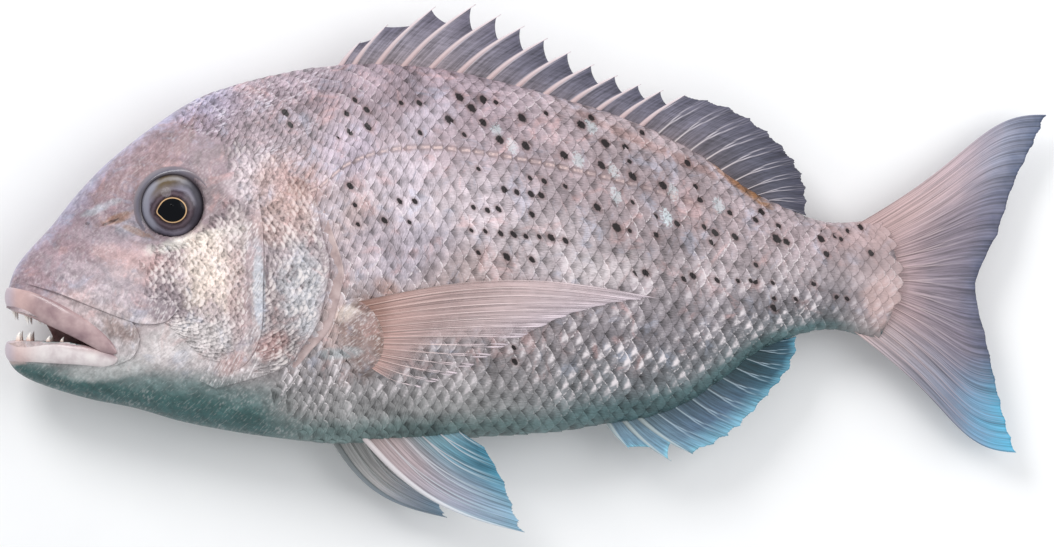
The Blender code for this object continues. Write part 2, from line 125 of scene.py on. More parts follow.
# Bony plates of the head: the line under the skin and the free edge, by share of the way down or back
GILL_INNER = [(0, 112, 36), (0.3, 106, 8), (0.6, 104, -20), (0.85, 98, -37), (1, 80, -46)]
GILL_EDGE = [
    (0, 134.3, 34.0), (0.14, 136.3, 20.1), (0.32, 140.7, 2.4), (0.45, 140.2, -5.6), (0.6, 136.3, -22.4),
    (0.72, 130.3, -32.3), (0.85, 120.5, -43.1), (1, 92, -51.9),
]
GILL_LIFT = 2.6
SKIRT_WIDTH = [(0, 0.3), (0.15, 4.2), (0.4, 6.4), (0.6, 6.0), (0.75, 3.4), (1, 0.4)]
SKIRT_LEAN = [(0, 0.0), (0.5, -0.3), (0.75, -0.75), (1, -1.0)]
SKIRT_LIFT = 0.7
CHEEK_INNER = [(0, 100, 30), (0.5, 95, -5), (1, 82, -38)]
CHEEK_EDGE = [
    (0, 110, 31), (0.2, 112.4, 14), (0.5, 112.4, -10), (0.75, 111, -30), (0.88, 104, -42), (1, 90, -48),
]
CHEEK_LIFT = 0.9
SNOUT_INNER = [(0, 8, -1), (0.3, 24, 2), (0.6, 42, -3), (1, 70, -8)]
SNOUT_EDGE = [
    (0, 6, -6), (0.25, 22.6, -10.5), (0.5, 40.3, -17.4), (0.68, 53.2, -22.3), (0.8, 61.1, -24.3),
    (0.92, 70.5, -23.3), (1, 76, -18.3),
]
SNOUT_LIFT = 1.4
JAW_INNER = [(0, 22, -18), (0.4, 34.4, -25), (0.75, 42, -32), (1, 43, -38)]
JAW_EDGE = [
    (0, 28.4, -11), (0.25, 40, -15.5), (0.5, 53, -20.5), (0.7, 59.2, -29), (0.88, 56.8, -38), (1, 49, -42),
]
JAW_LIFT = 1.2

# Side line and scales
LATERAL = [
    (80, 22), (110, 26), (134.8, 33.4), (148.6, 44.1), (170.1, 50.6), (195.9, 50.2), (239, 42.8),
    (277.7, 33.4), (320.8, 18.3), (342.3, 9.7), (376.8, -0.2), (392, -3),
]
SCALE_PITCH = 5.8
ROW_PITCH = 5.1
# The points of one scale across it, and from its root to its free edge and round that edge
SCALE_ACROSS = [-1.12, -0.66, -0.22, 0.22, 0.66, 1.12]
SCALE_DOWN = [0, 0.34, 0.58, 0.78, 0.92, 1.0, 1.0]
SCALE_ROOT = 0.9
SCALE_ROUND = 1.75
SCALE_SLOPE = 0.42
HEAD_SCALE_LIFT = 0.45
SCALED_FROM = 60.0
SCALED_TO = 395.0
SCALE_SHARE = [
    (70, 0.52), (90, 0.58), (130, 0.74), (175, 1.0), (310, 0.98), (345, 0.82), (375, 0.62), (392, 0.5),
]
SCALES_BEGIN = [
    (-90, 132), (-66, 126), (-58, 119), (-50, 112), (-43, 119), (-32, 129), (-22, 134.5), (-5.6, 138.5),
    (2.4, 139), (20, 134.5), (34, 132.5), (41, 131), (50, 112), (56, 94), (62.7, 77), (70, 80), (79, 90),
    (95, 92),
]

# Dark spots and pale blots, in steps back and down. The tip of the snout, on the axis, is at SPOT_ORIGIN
SPOT_STEP = 0.43062
SPOT_ORIGIN = (5, 267.5)
SPOT_LEAN = -48
SPOTS = [
    (348, 115), (368, 111), (369, 128), (351, 133), (340, 138), (356, 101), (402, 104), (420, 104),
    (460, 98), (484, 101), (472, 109), (496, 103), (450, 121), (421, 134), (465, 136), (500, 141),
    (526, 147), (546, 114), (522, 119), (483, 123), (581, 125), (591, 118), (642, 133), (605, 144),
    (625, 148), (629, 162), (632, 177), (601, 166), (564, 156), (479, 170), (662, 186), (687, 163),
    (695, 187), (699, 200), (352, 187), (357, 206), (360, 225), (401, 202), (416, 202), (386, 221),
    (411, 223), (505, 191), (517, 193), (531, 195), (541, 196), (530, 179), (544, 182), (565, 187),
    (474, 208), (488, 211), (499, 210), (532, 215), (472, 231), (486, 232), (501, 234), (514, 235),
    (526, 237), (539, 237), (551, 238), (565, 241), (479, 253), (507, 257), (532, 260), (616, 228),
    (629, 231), (632, 203), (597, 208), (655, 217), (676, 224), (635, 273), (645, 273), (683, 279),
    (729, 213), (755, 220), (761, 212), (778, 226), (776, 239), (786, 242), (823, 233), (821, 239),
    (835, 236), (841, 239), (848, 231), (826, 254), (714, 233), (703, 227), (711, 243), (734, 237),
    (755, 265), (754, 281), (716, 280), (737, 281), (750, 281), (772, 283), (773, 298), (795, 299),
    (813, 284), (837, 298), (847, 299), (515, 361), (514, 347), (292, 126), (287, 114), (861, 227),
    (871, 253), (655, 235), (692, 276), (773, 308),
]
BIG_SPOTS = {
    (450, 121), (472, 109), (662, 186), (581, 125), (564, 156), (616, 228), (632, 177), (500, 141),
    (526, 147), (522, 119), (776, 239), (460, 98), (484, 101), (601, 166), (605, 144),
}
PALE_BLOTS = [
    (497, 132), (512, 147), (578, 161), (613, 172), (615, 196), (665, 217), (591, 127), (672, 193),
    (718, 206), (666, 218),
]

# Fins: roots and tips by number of the ray or by share of the way across, and how the rays bow
FIN_SINK = 6.0
STANDING_BOW = 0.05
DORSAL_ROOTS = [
    (0, 142.8), (1, 148.5), (2, 157.8), (4, 179.9), (7, 217), (10, 251.6), (12, 270.9), (16, 298.3),
    (19, 315.4), (22, 323),
]
DORSAL_TIPS = [
    (0, 153.3, 97.3), (1, 164.9, 104.6), (2, 185.4, 112.3), (3, 202.8, 113.4), (4, 213.6, 109.0),
    (6, 233.8, 98.8), (8, 253.8, 87.4), (10, 273.9, 78.9), (12, 293.1, 74.3), (14, 312.4, 69.2),
    (16, 328.8, 58.8), (18, 340.4, 46.3), (20, 345.3, 34.7), (22, 345.3, 22.4),
]
DORSAL_SPINES = 13
DORSAL_RAYS = 23
ANAL_ROOTS = [(0, 258.4), (2, 269.4), (5, 292.4), (8, 310.9), (11, 322)]
ANAL_TIPS = [
    (0, 269, -78.2), (1, 287, -83.4), (2, 296.4, -80.4), (3, 305.6, -76.4), (5, 317.1, -68.2),
    (7, 329, -55.2), (9, 338.4, -43.6), (10, 341.4, -35.8), (11, 341.4, -29.6),
]
ANAL_SPINES = 3
ANAL_RAYS = 12
TAIL_ROOTS = [
    (0, 362.2, 15.7), (0.15, 373.4, 13.6), (0.35, 381, 5.4), (0.5, 383.7, -5.4), (0.65, 381, -14),
    (0.85, 373.4, -21.8), (1, 362.2, -24.8),
]
TAIL_TIPS = [
    (0, 450, 66.1), (0.125, 444.3, 53.5), (0.25, 435.5, 35.8), (0.375, 428.3, 14.2), (0.5, 418.6, -6.7),
    (0.625, 422.9, -28), (0.75, 427.3, -47.8), (0.875, 432, -66.4), (1, 436.6, -80.1),
]
TAIL_RAYS = 17
TAIL_BOW = 6.9
PECTORAL_ROOTS = [(0, 155.5, -14.6), (0.5, 160.6, -29.0), (1, 159.5, -43.0)]
PECTORAL_TIPS = [
    (0, 280.8, -13.1), (0.2, 262, -15.5), (0.4, 240, -21.5), (0.6, 218, -32.5), (0.8, 199, -43.5),
    (1, 179, -51.5),
]
PECTORAL_BOW = [(0, 8.5), (0.3, 2.0), (1, -1.5)]
PECTORAL_RAYS = 14
PECTORAL_STAND = 1.9
FIN_ROOT = (155.5, -30.0)
FIN_ROOT_SIZE = (11.0, 18.5)
FIN_ROOT_LEAN = 16.0
FIN_ROOT_RISE = 2.3
LEFT_PELVIC_ROOTS = [(0, 155.4, -71.5), (1, 196, -70.5)]
LEFT_PELVIC_TIPS = [
    (0, 223.9, -113.4), (0.3, 220.3, -105.6), (0.6, 215.5, -92.2), (0.85, 210, -82.6), (1, 206.5, -77),
]
RIGHT_PELVIC_ROOTS = [(0, 143, -73), (1, 172, -71.5)]
RIGHT_PELVIC_TIPS = [(0, 190.2, -108.2), (0.35, 188, -104), (0.7, 182, -90), (1, 176, -76)]
PELVIC_RAYS = 6
PELVIC_BOW = -8.5

# Light and camera, in metres from the middle of the fish's length on the table
ROOM_COLOUR = (0.96, 0.98, 1.0, 1)
ROOM_STRENGTH = 0.66
KEY_PLACE = (-0.6, 0.95, 1.0)
KEY_AIM = (0.03, 0, 0.02)
FILL_PLACE = (1.0, 0.25, 1.1)
FILL_AIM = (0.05, 0, 0.02)
CAMERA_PLACE = (-0.0002, -0.0026, 2.549)
CAMERA_LENS = 200.0
TABLE_REACH = 3

# The small irregularities of the scales are drawn from this, always in the same order
chance = np.random.default_rng(7)


# Shapes


def curve(keys, at):
    """Values at places on a smooth curve through keys, each a place and a value."""
    keys = np.array(keys, float)
    places, values = keys[:, 0], keys[:, 1]
    last = len(places) - 1
    low, high = np.maximum(np.arange(last + 1) - 1, 0), np.minimum(np.arange(last + 1) + 1, last)
    slopes = (values[high] - values[low]) / (places[high] - places[low])
    at = np.clip(np.asarray(at, float), places[0], places[-1])
    i = np.clip(np.searchsorted(places, at, side="right") - 1, 0, last - 1)
    span, rise = places[i + 1] - places[i], values[i + 1] - values[i]
    t = (at - places[i]) / span
    first, second = span * slopes[i], span * slopes[i + 1]
    return values[i] + t * (first + t * (3 * rise - 2 * first - second + t * (first + second - 2 * rise)))


def path(keys, at):
    """Distances and heights at places on a smooth path through keys."""
    return curve([(k[0], k[1]) for k in keys], at), curve([(k[0], k[2]) for k in keys], at)


def ease(low, high, value):
    """A smooth step from 0 at low to 1 at high."""
    t = np.clip((np.asarray(value, float) - low) / (high - low), 0, 1)
    return t * t * (3 - 2 * t)


def middle(x):
    """Height of the fish's middle plane above the table."""
    past = np.maximum(0.0, np.asarray(x, float) - SAG_FROM) / (TOTAL_LENGTH - SAG_FROM)
    return MID_HEIGHT - TAIL_SAG * past * past


def half_depth(x, y):
    """Distance from the middle plane to the skin at places of the side view."""
    top, bottom, widest = curve(BACK, x), curve(BELLY, x), curve(WIDEST, x)
    above = y > widest
    sine = np.where(above, (y - widest) / (top - widest), (widest - y) / (widest - bottom))
    taper = np.where(above, curve(BACK_TAPER, x), curve(BELLY_TAPER, x))
    return curve(HALF_WIDTH, x) * np.sqrt(np.maximum(0.0, 1 - np.minimum(sine, 1.0) ** 2)) ** taper


def height_share(x, y):
    """How far up a place is between the belly and the back, from 0 to 1."""
    bottom = curve(BELLY, x)
    return np.clip((y - bottom) / (curve(BACK, x) - bottom), 0, 1)


def pressed(z):
    """Heights on the skin once the table has flattened the flank that rests on it."""
    z = z - SKIN_REST
    soft = (z + REST_BLEND) ** 2 / (4 * REST_BLEND)
    return SKIN_REST + np.where(z < -REST_BLEND, 0.0, np.where(z < REST_BLEND, soft, z))


def turned(x, y, degrees, along=1.0, across=1.0):
    """A place measured along and across a direction of the side view, in units of along and across."""
    c, s = math.cos(math.radians(degrees)), math.sin(math.radians(degrees))
    return x * (c / along) + y * (s / along), y * (c / across) - x * (s / across)


def turns(count):
    """Angles spread evenly over a full turn."""
    return 2 * math.pi * np.arange(count) / count


def section(x, angle):
    """Places on the skin: angle runs from the belly at -90 degrees over the left flank to the back at 90."""
    top, bottom, widest = curve(BACK, x), curve(BELLY, x), curve(WIDEST, x)
    sine, cosine = np.sin(angle), np.cos(angle)
    y = widest + sine * np.where(sine > 0, top - widest, widest - bottom)
    taper = np.where(sine > 0, curve(BACK_TAPER, x), curve(BELLY_TAPER, x))
    depth = np.sign(cosine) * curve(HALF_WIDTH, x) * np.abs(cosine) ** taper
    bulge = BODY_BULGE * np.maximum(0.0, (x - BULGE_FROM) / (BODY_END - BULGE_FROM)) ** 2 * cosine**2
    return x + bulge, y, depth


def cross(a, b):
    """Unit vectors square to two fields of vectors."""
    made = np.cross(a, b)
    return made / np.maximum(np.linalg.norm(made, axis=-1, keepdims=True), 1e-9)


def grid_faces(rows, columns, start=0, closed=False):
    """Faces of a grid of points that was laid out row by row."""
    i, j = np.meshgrid(np.arange(rows - 1), np.arange(columns if closed else columns - 1), indexing="ij")
    k = (j + 1) % columns
    faces = np.stack([i * columns + j, (i + 1) * columns + j, (i + 1) * columns + k, i * columns + k], -1)
    return (faces.reshape(-1, 4) + start).tolist()


def tube_faces(rings, sides):
    """Faces of a tube of rings that is shut at both ends."""
    ends = [list(range(sides))[::-1], list(range((rings - 1) * sides, rings * sides))]
    return grid_faces(rings, sides, closed=True) + ends


def sheet_faces(rows, columns):
    """Faces of a closed thin sheet: two grids, one behind the other, and the rim that joins them."""
    size = rows * columns
    faces = grid_faces(rows, columns) + [face[::-1] for face in grid_faces(rows, columns, size)]
    rim = list(range(columns)) + [i * columns + columns - 1 for i in range(1, rows)]
    rim += list(range(size - 2, size - columns - 1, -1)) + [i * columns for i in range(rows - 2, 0, -1)]
    return faces + [[a, b, size + b, size + a] for a, b in zip(rim, rim[1:] + rim[:1])]


def outward(points, faces, side=0):
    """The faces turned outwards: all of them up, or down for side -1, or out of a closed shape for side 0."""
    corners = points[np.array([face[:3] for face in faces])]
    square = np.cross(corners[:, 1] - corners[:, 0], corners[:, 2] - corners[:, 0])
    swell = (square * (corners[:, 0] - points.mean(0))).sum() if side == 0 else square[:, 2].sum() * side
    return [face[::-1] for face in faces] if swell < 0 else faces


def piece(name, points, faces, look, slot="skin", stands_for="fish", fields=None, side=0):
    """A finished piece of the fish, with its material and the fields that the material reads."""
    points = np.asarray(points, float).reshape(-1, 3)
    faces = outward(points, faces, side)
    mesh = bpy.data.meshes.new(name)
    mesh.from_pydata(((points - (TOTAL_LENGTH / 2, 0, 0)) * MM).tolist(), [], faces)
    for field, values in (fields or {}).items():
        layer = mesh.attributes.new(field, "FLOAT", "POINT")
        layer.data.foreach_set("value", np.asarray(values, np.float32).ravel())
    mesh.shade_smooth()
    mesh.materials.append(look)
    made = bpy.data.objects.new(name, mesh)
    bpy.context.scene.collection.objects.link(made)
    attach(made, "root")
    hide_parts(stands_for)
    return made


def tube(route, radii, sides):
    """Points and faces of a closed tube along a route, with a radius at each of its points."""
    route = np.asarray(route, float)
    ahead = np.gradient(route, axis=0)
    ahead /= np.linalg.norm(ahead, axis=1, keepdims=True)
    side = cross(ahead, np.broadcast_to((0.0, 0.0, 1.0), ahead.shape))
    up = cross(side, ahead)
    turn = turns(sides)
    radii = np.asarray(radii, float)[:, None, None]
    ring = np.cos(turn)[None, :, None] * side[:, None] + np.sin(turn)[None, :, None] * up[:, None]
    return (route[:, None] + radii * ring).reshape(-1, 3), tube_faces(len(route), sides)


def gathered(parts):
    """Points and faces of several shapes as one."""
    points, faces, start = [], [], 0
    for own_points, own_faces in parts:
        points.append(own_points)
        faces += [[start + k for k in face] for face in own_faces]
        start += len(own_points)
    return np.concatenate(points), faces


# Materials


def tone(red, green, blue):
    """A colour as the eye reads it, from 0 to 255, as the light it gives back."""
    light = [c / 3294.6 if c <= 10 else ((c / 255 + 0.055) / 1.055) ** 2.4 for c in (red, green, blue)]
    return (*light, 1)


class Wire:
    """A number, colour or vector on its way through a material."""

    def __init__(self, finish, socket):
        self.finish, self.socket = finish, socket

    def __add__(self, other):
        return self.finish.maths("ADD", self, other)

    def __radd__(self, other):
        return self.finish.maths("ADD", other, self)

    def __sub__(self, other):
        return self.finish.maths("SUBTRACT", self, other)

    def __rsub__(self, other):
        return self.finish.maths("SUBTRACT", other, self)

    def __mul__(self, other):
        return self.finish.maths("MULTIPLY", self, other)

    def __rmul__(self, other):
        return self.finish.maths("MULTIPLY", other, self)

    def __truediv__(self, other):
        return self.finish.maths("DIVIDE", self, other)

    def __rtruediv__(self, other):
        return self.finish.maths("DIVIDE", other, self)

    def __pow__(self, other):
        return self.finish.maths("POWER", self, other)

    def __abs__(self):
        return self.finish.maths("ABSOLUTE", self)


class Finish:
    """A material in the making: it makes the nodes and joins them up."""

    def __init__(self, name):
        self.material = bpy.data.materials.new(name)
        self.material.use_nodes = True
        self.nodes = self.material.node_tree.nodes
        self.links = self.material.node_tree.links
        self.shader = self.nodes["Principled BSDF"]
        self.spot, self.where = None, None

    def node(self, kind, settings=None, sockets=None, out=0):
        """One node: its settings first, then the values or links of its sockets."""
        made = self.nodes.new(kind)
        for key, value in (settings or {}).items():
            if key == "stops":
                ramp = made.color_ramp
                while len(ramp.elements) < len(value):
                    ramp.elements.new(0.5)
                for stop, (place, colour) in zip(ramp.elements, value):
                    stop.position, stop.color = place, colour
            else:
                setattr(made, key, value)
        self.join(made, sockets or {})
        return Wire(self, made.outputs[out])

    def join(self, made, sockets):
        """Links or sets a node's sockets."""
        for key, value in sockets.items():
            if isinstance(value, Wire):
                self.links.new(value.socket, made.inputs[key])
            else:
                made.inputs[key].default_value = value

    def maths(self, operation, *values):
        """One sum on numbers or wires."""
        return self.node("ShaderNodeMath", {"operation": operation}, dict(enumerate(values)))

    def mix(self, a, b, share):
        """Two colours mixed by a share of the second."""
        return self.node("ShaderNodeMix", {"data_type": "RGBA"}, {0: share, 6: a, 7: b}, 2)

    def shade(self, colour, amount):
        """A colour made brighter or darker."""
        return self.node("ShaderNodeVectorMath", {"operation": "SCALE"}, {0: colour, "Scale": amount})

    def step(self, value, low, high):
        """A smooth step from 0 at low to 1 at high."""
        if low > high:
            return 1 - self.step(value, high, low)
        sockets = {0: value, "From Min": low, "From Max": high}
        return self.node("ShaderNodeMapRange", {"interpolation_type": "SMOOTHSTEP"}, sockets)

    def ramp(self, value, stops):
        """Colours by a value: each stop is a place and a colour as the eye reads it."""
        return self.node("ShaderNodeValToRGB", {"stops": [(p, tone(*c)) for p, c in stops]}, {0: value})

    def field(self, name):
        """One of the numbers that the mesh carries at its points."""
        return self.node("ShaderNodeAttribute", {"attribute_name": name}, out=2)

    def place(self):
        """Distance from the snout and height over the axis, in millimetres."""
        if self.spot is None:
            self.where = self.node("ShaderNodeTexCoord", out=3)
            split = self.node("ShaderNodeSeparateXYZ", sockets={0: self.where})
            up = Wire(self, split.socket.node.outputs[1])
            self.spot = (split * (1 / MM) + TOTAL_LENGTH / 2, up * (1 / MM))
        return self.spot

    def noise(self, scale, detail=2.0, rough=0.5, at=None, swirl=0.0):
        """Cloudy noise about 0.5. The scale is in grains to a metre."""
        if at is None:
            self.place()
            at = self.where
        return self.node(
            "ShaderNodeTexNoise",
            sockets={"Vector": at, "Scale": scale, "Detail": detail, "Roughness": rough, "Distortion": swirl},
        )

    def vector(self, x, y):
        """A flat position for textures."""
        return self.node("ShaderNodeCombineXYZ", sockets={0: x, 1: y})

    def stretched(self, turn, along, across):
        """A position for textures that are drawn out along a direction, turn degrees up from +X."""
        return self.vector(*turned(*self.place(), turn, along, across))

    def strokes(self, turn, along, across):
        """Fine strokes about 0.5 that are drawn out along a direction."""
        return self.noise(1.0, 3, 0.6, self.stretched(turn, along, across))

    def blot(self, centre, radii, turn, soft, ragged, drift):
        """A soft oval patch of the side view, with a ragged edge: 1 inside and 0 outside."""
        x, y = self.place()
        along, across = turned(x - centre[0], y - centre[1], turn, *radii)
        far = along**2 + across**2 + (drift - 0.5) * (2 * ragged)
        return self.step(far, 1 + soft, 1 - soft)

    def bump(self, height, strength, depth):
        """A fine relief of some depth in millimetres."""
        sockets = {"Height": height, "Strength": strength, "Distance": depth * MM}
        return self.node("ShaderNodeBump", sockets=sockets)

    def done(self, **sockets):
        """Sets the shader's sockets, named in words joined by underscores, and gives the material."""
        names = [key.replace("_", " ").title().replace("Ior", "IOR") for key in sockets]
        self.join(self.shader, dict(zip(names, sockets.values())))
        return self.material


def from_steps(px, py):
    """A place given in steps, as a distance from the snout and a height over the axis."""
    return (px - SPOT_ORIGIN[0]) * SPOT_STEP, (SPOT_ORIGIN[1] - py) * SPOT_STEP


# Patches of colour on the head and body: place and radii in steps, turn, softness, colour and strength. Some
# are painted sheen, highlights and shade, marked where they stand
PATCHES = [
    ((62, 262), (42, 30), 40, 0.7, (170, 144, 152), 0.7),
    ((150, 160), (60, 22), 38, 0.8, (158, 130, 132), 0.75),
    ((216, 190), (20, 44), 10, 0.7, (148, 130, 135), 0.85),
    ((125, 240), (46, 14), -8, 0.8, (186, 170, 180), 0.5),
    ((132, 257), (36, 12), -10, 0.9, (214, 178, 176), 0.6),
    ((90, 275), (20, 12), -30, 0.9, (208, 176, 180), 0.45),
    ((112, 285), (60, 18), -22, 0.8, (182, 171, 180), 0.6),
    ((160, 300), (34, 20), -15, 0.8, (160, 145, 152), 0.8),
    # Painted highlight: a white band along the silver skin under the eye.
    ((198, 240), (46, 7), 14, 0.8, (244, 238, 230), 0.85),
    # Painted shade: a dark crease line from the nostril to under the eye.
    ((150, 236), (40, 3), -14, 0.7, (70, 62, 70), 0.4),
    ((214, 268), (29, 42), 12, 0.8, (250, 232, 220), 0.9),
    ((238, 236), (14, 24), 0, 0.8, (220, 206, 204), 0.6),
    ((214, 202), (13, 27), 0, 0.8, (150, 134, 138), 0.85),
    ((254, 182), (26, 24), 0, 0.9, (224, 208, 213), 0.65),
    ((112, 368), (42, 10), 8, 1.0, (206, 207, 206), 0.62),
    # Painted shade: a dark crease line from the nostril to under the eye.
    ((148, 228), (22, 4), -18, 0.8, (92, 78, 80), 0.5),
    ((190, 340), (50, 20), 12, 0.8, (226, 218, 218), 0.8),
    # Painted highlight: a pale bluish streak by the nostril.
    ((104, 208), (20, 4), 24, 0.9, (190, 202, 212), 0.42),
    ((134, 222), (16, 12), 20, 0.9, (176, 176, 190), 0.45),
    ((120, 219), (17, 4.5), 18, 0.8, (160, 116, 86), 0.66),
    # Painted shade: dark in the nostril slit.
    ((112, 223), (9, 1.5), 22, 0.6, (66, 44, 42), 0.9),
    ((140, 232), (15, 3), -22, 0.8, (146, 112, 92), 0.6),
    # Painted shade: dark in the nostril hole.
    ((90, 224), (2, 1.4), 0, 0.6, (96, 74, 78), 0.8),
    # Painted highlight on the cheek bone's free edge, and painted shade in the two dark lines beside it.
    ((262, 290), (6, 46), 2, 0.6, (206, 210, 218), 0.75),
    ((271, 288), (1.4, 44), 2, 0.6, (116, 100, 108), 0.5),
    ((252, 292), (1.4, 40), 4, 0.6, (130, 108, 114), 0.4),
    ((116, 326), (12, 8), -30, 1.0, (148, 122, 114), 0.6),
    ((134, 333), (8, 10), -30, 1.0, (142, 116, 108), 0.55),
    ((240, 300), (10, 54), 5, 0.9, (206, 176, 178), 0.5),
    ((292, 182), (34, 26), 10, 0.9, (196, 158, 150), 0.6),
    ((298, 188), (12, 9), 40, 0.9, (150, 108, 98), 0.45),
    ((286, 218), (30, 26), 0, 0.9, (208, 176, 168), 0.6),
    ((306, 292), (22, 46), 8, 0.8, (206, 206, 212), 0.8),
    ((273, 345), (17, 12), 30, 1.0, (206, 152, 146), 0.5),
    ((236, 362), (18, 10), 20, 1.0, (196, 148, 142), 0.45),
    ((336, 325), (16, 34), 6, 0.8, (204, 178, 172), 0.6),
    ((366, 336), (24, 36), 0, 0.9, (148, 122, 115), 0.8),
    # Painted highlight: a cream patch on the lobe of the side fin.
    ((350, 312), (12, 8), 20, 0.9, (236, 220, 208), 0.6),
    ((344, 352), (22, 6), 5, 0.9, (168, 184, 190), 0.55),
    ((366, 307), (13, 3), -10, 0.8, (92, 66, 58), 0.75),
    ((370, 372), (9, 4), 10, 0.9, (96, 84, 80), 0.6),
    ((384, 338), (10, 24), 0, 1.0, (132, 100, 86), 0.5),
    # Painted sheen: a pale lilac-silver patch on the flank.
    ((470, 205), (62, 32), 10, 1.0, (222, 210, 217), 0.38),
    ((550, 240), (50, 28), 10, 1.0, (206, 195, 199), 0.4),
    ((370, 232), (34, 36), 0, 1.0, (194, 170, 166), 0.5),
    ((388, 286), (13, 8), -30, 1.0, (160, 120, 100), 0.65),
    # Painted sheen: the next four patches are lilac and lilac-white sheen on the front of the flank.
    ((400, 250), (52, 34), 0, 1.0, (180, 174, 190), 0.5),
    ((402, 180), (34, 34), 10, 1.0, (216, 206, 218), 0.42),
    ((432, 118), (30, 15), 20, 1.0, (212, 202, 216), 0.42),
    ((352, 150), (30, 26), 20, 1.0, (190, 178, 196), 0.5),
    ((600, 272), (46, 16), 6, 1.0, (208, 198, 200), 0.55),
    ((18, 352), (16, 11), 10, 0.8, (214, 188, 184), 0.85),
    ((470, 290), (48, 40), 0, 1.0, (158, 138, 134), 0.5),
    ((884, 300), (20, 24), 20, 0.8, (216, 186, 182), 0.7),
    ((878, 232), (34, 16), 10, 0.8, (200, 172, 172), 0.6),
    ((742, 186), (34, 5), -37, 0.8, (150, 104, 60), 0.9),
    ((655, 148), (90, 5), -24, 0.9, (146, 110, 102), 0.5),
]


def hide(f):
    """The fish's colour at a place, with painted teal reflection, sheen, highlights and crease shade, before
    each finish's strokes, painted glints, painted rim shade and spots.
    """
    x, y = f.place()
    rise = f.field("rise")
    drift = f.noise(38, 3, 0.6)
    ragged = f.noise(110, 5, 0.68, swirl=0.4)
    level = rise + (drift - 0.5) * 0.06 + (ragged - 0.5) * 0.03
    # Painted reflection: the teal at the low end of the front, rear and head ramps, towards the belly, stands
    # for bluish-green light from around the fish.
    front = f.ramp(level, [
        (0, (100, 120, 119)), (0.035, (104, 123, 122)), (0.08, (146, 146, 146)), (0.2, (152, 145, 147)),
        (0.3, (160, 149, 151)), (0.42, (174, 160, 162)), (0.5, (180, 166, 170)), (0.62, (182, 168, 173)),
        (0.76, (174, 158, 165)), (0.88, (156, 139, 147)), (1, (168, 151, 161)),
    ])
    rear = f.ramp(level, [
        (0, (78, 104, 107)), (0.05, (84, 108, 111)), (0.11, (116, 120, 124)), (0.25, (126, 121, 126)),
        (0.38, (146, 138, 143)), (0.5, (158, 147, 151)), (0.62, (150, 137, 141)), (0.8, (156, 140, 144)),
        (0.93, (160, 145, 149)), (1, (174, 158, 162)),
    ])
    colour = f.mix(front, rear, f.step(x, 190, 270))
    # Painted rim light: the bluish-mauve top stop of the head ramp lightens the top edge of the head.
    head = f.ramp(level, [
        (0, (42, 82, 84)), (0.07, (62, 97, 96)), (0.12, (112, 128, 128)), (0.185, (188, 179, 180)),
        (0.5, (194, 174, 176)), (0.62, (146, 126, 132)), (0.86, (140, 120, 129)), (1, (170, 164, 188)),
    ])
    colour = f.mix(head, colour, f.step(x + y * 0.15, 97, 119))
    for centre, radii, turn, soft, paint, strength in PATCHES:
        mask = f.blot(from_steps(*centre), [r * SPOT_STEP for r in radii], turn, soft, 2.2, ragged)
        colour = f.mix(colour, tone(*paint), mask * strength)
    tint = f.noise(80, 4, 0.66, swirl=0.9)
    flank = f.step(rise, 0.12, 0.2)
    colour = f.mix(colour, tone(206, 160, 156), f.step(tint, 0.53, 0.7) * 0.34 * flank)
    colour = f.mix(colour, tone(170, 182, 204), f.step(tint, 0.46, 0.3) * 0.3 * flank)
    grain = f.noise(260, 4, 0.7)
    return f.shade(colour, 0.63 + f.step(grain, 0.3, 0.7) * 0.28 + f.step(ragged, 0.3, 0.7) * 0.42)


def sparkle(f, turn, length, wide):
    """Painted glints: bright uneven flecks that are drawn out along a direction, with darker gaps between
    them.
    """
    cells = f.node("ShaderNodeTexVoronoi", sockets={"Vector": f.stretched(turn, length, wide), "Scale": 1.0})
    patchy = f.noise(95, 3, 0.6)
    return f.step(cells, 0.55, 0.15) * f.step(patchy, 0.44, 0.62), f.step(cells, 0.5, 0.85)


def skin_finish():
    """Bare wet skin of the head, and what shows between the scales."""
    f = Finish("wet_skin")
    x, y = f.place()
    colour = hide(f)
    fine = f.noise(420, 4, 0.62, swirl=0.6)
    hairs = f.strokes(40, 3.6, 0.7)
    silver = f.step(x - y * 0.5, 72, 98) * f.step(f.field("rise"), 0.14, 0.22)
    silver = silver * (1 - f.step(x, 134, 146) * 0.35)
    # The bright strokes, strongest on the silvery skin, are partly painted glints over its streaky texture.
    colour = f.mix(colour, tone(240, 232, 232), f.step(hairs, 0.54, 0.66) * (0.14 + silver * 0.5))
    colour = f.mix(colour, tone(112, 92, 98), f.step(hairs, 0.44, 0.32) * (0.14 + silver * 0.42))
    bright, dark = sparkle(f, 60, 1.9, 1.1)
    # Painted glints: bright flecks, strongest on the silvery skin.
    colour = f.mix(colour, tone(244, 236, 236), bright * (0.16 + silver * 0.4))
    colour = f.shade(colour, 0.85 + f.step(fine, 0.28, 0.72) * 0.3 - dark * 0.06)
    pits = f.noise(1500, 2, 0.5)
    return f.done(
        base_color=colour, roughness=0.34 + fine * 0.22, metallic=0.04, coat_weight=0.16, coat_roughness=0.18,
        specular_ior_level=0.35, normal=f.bump(fine + pits * 0.35 + hairs * 0.5, 0.5, 0.7),
    )


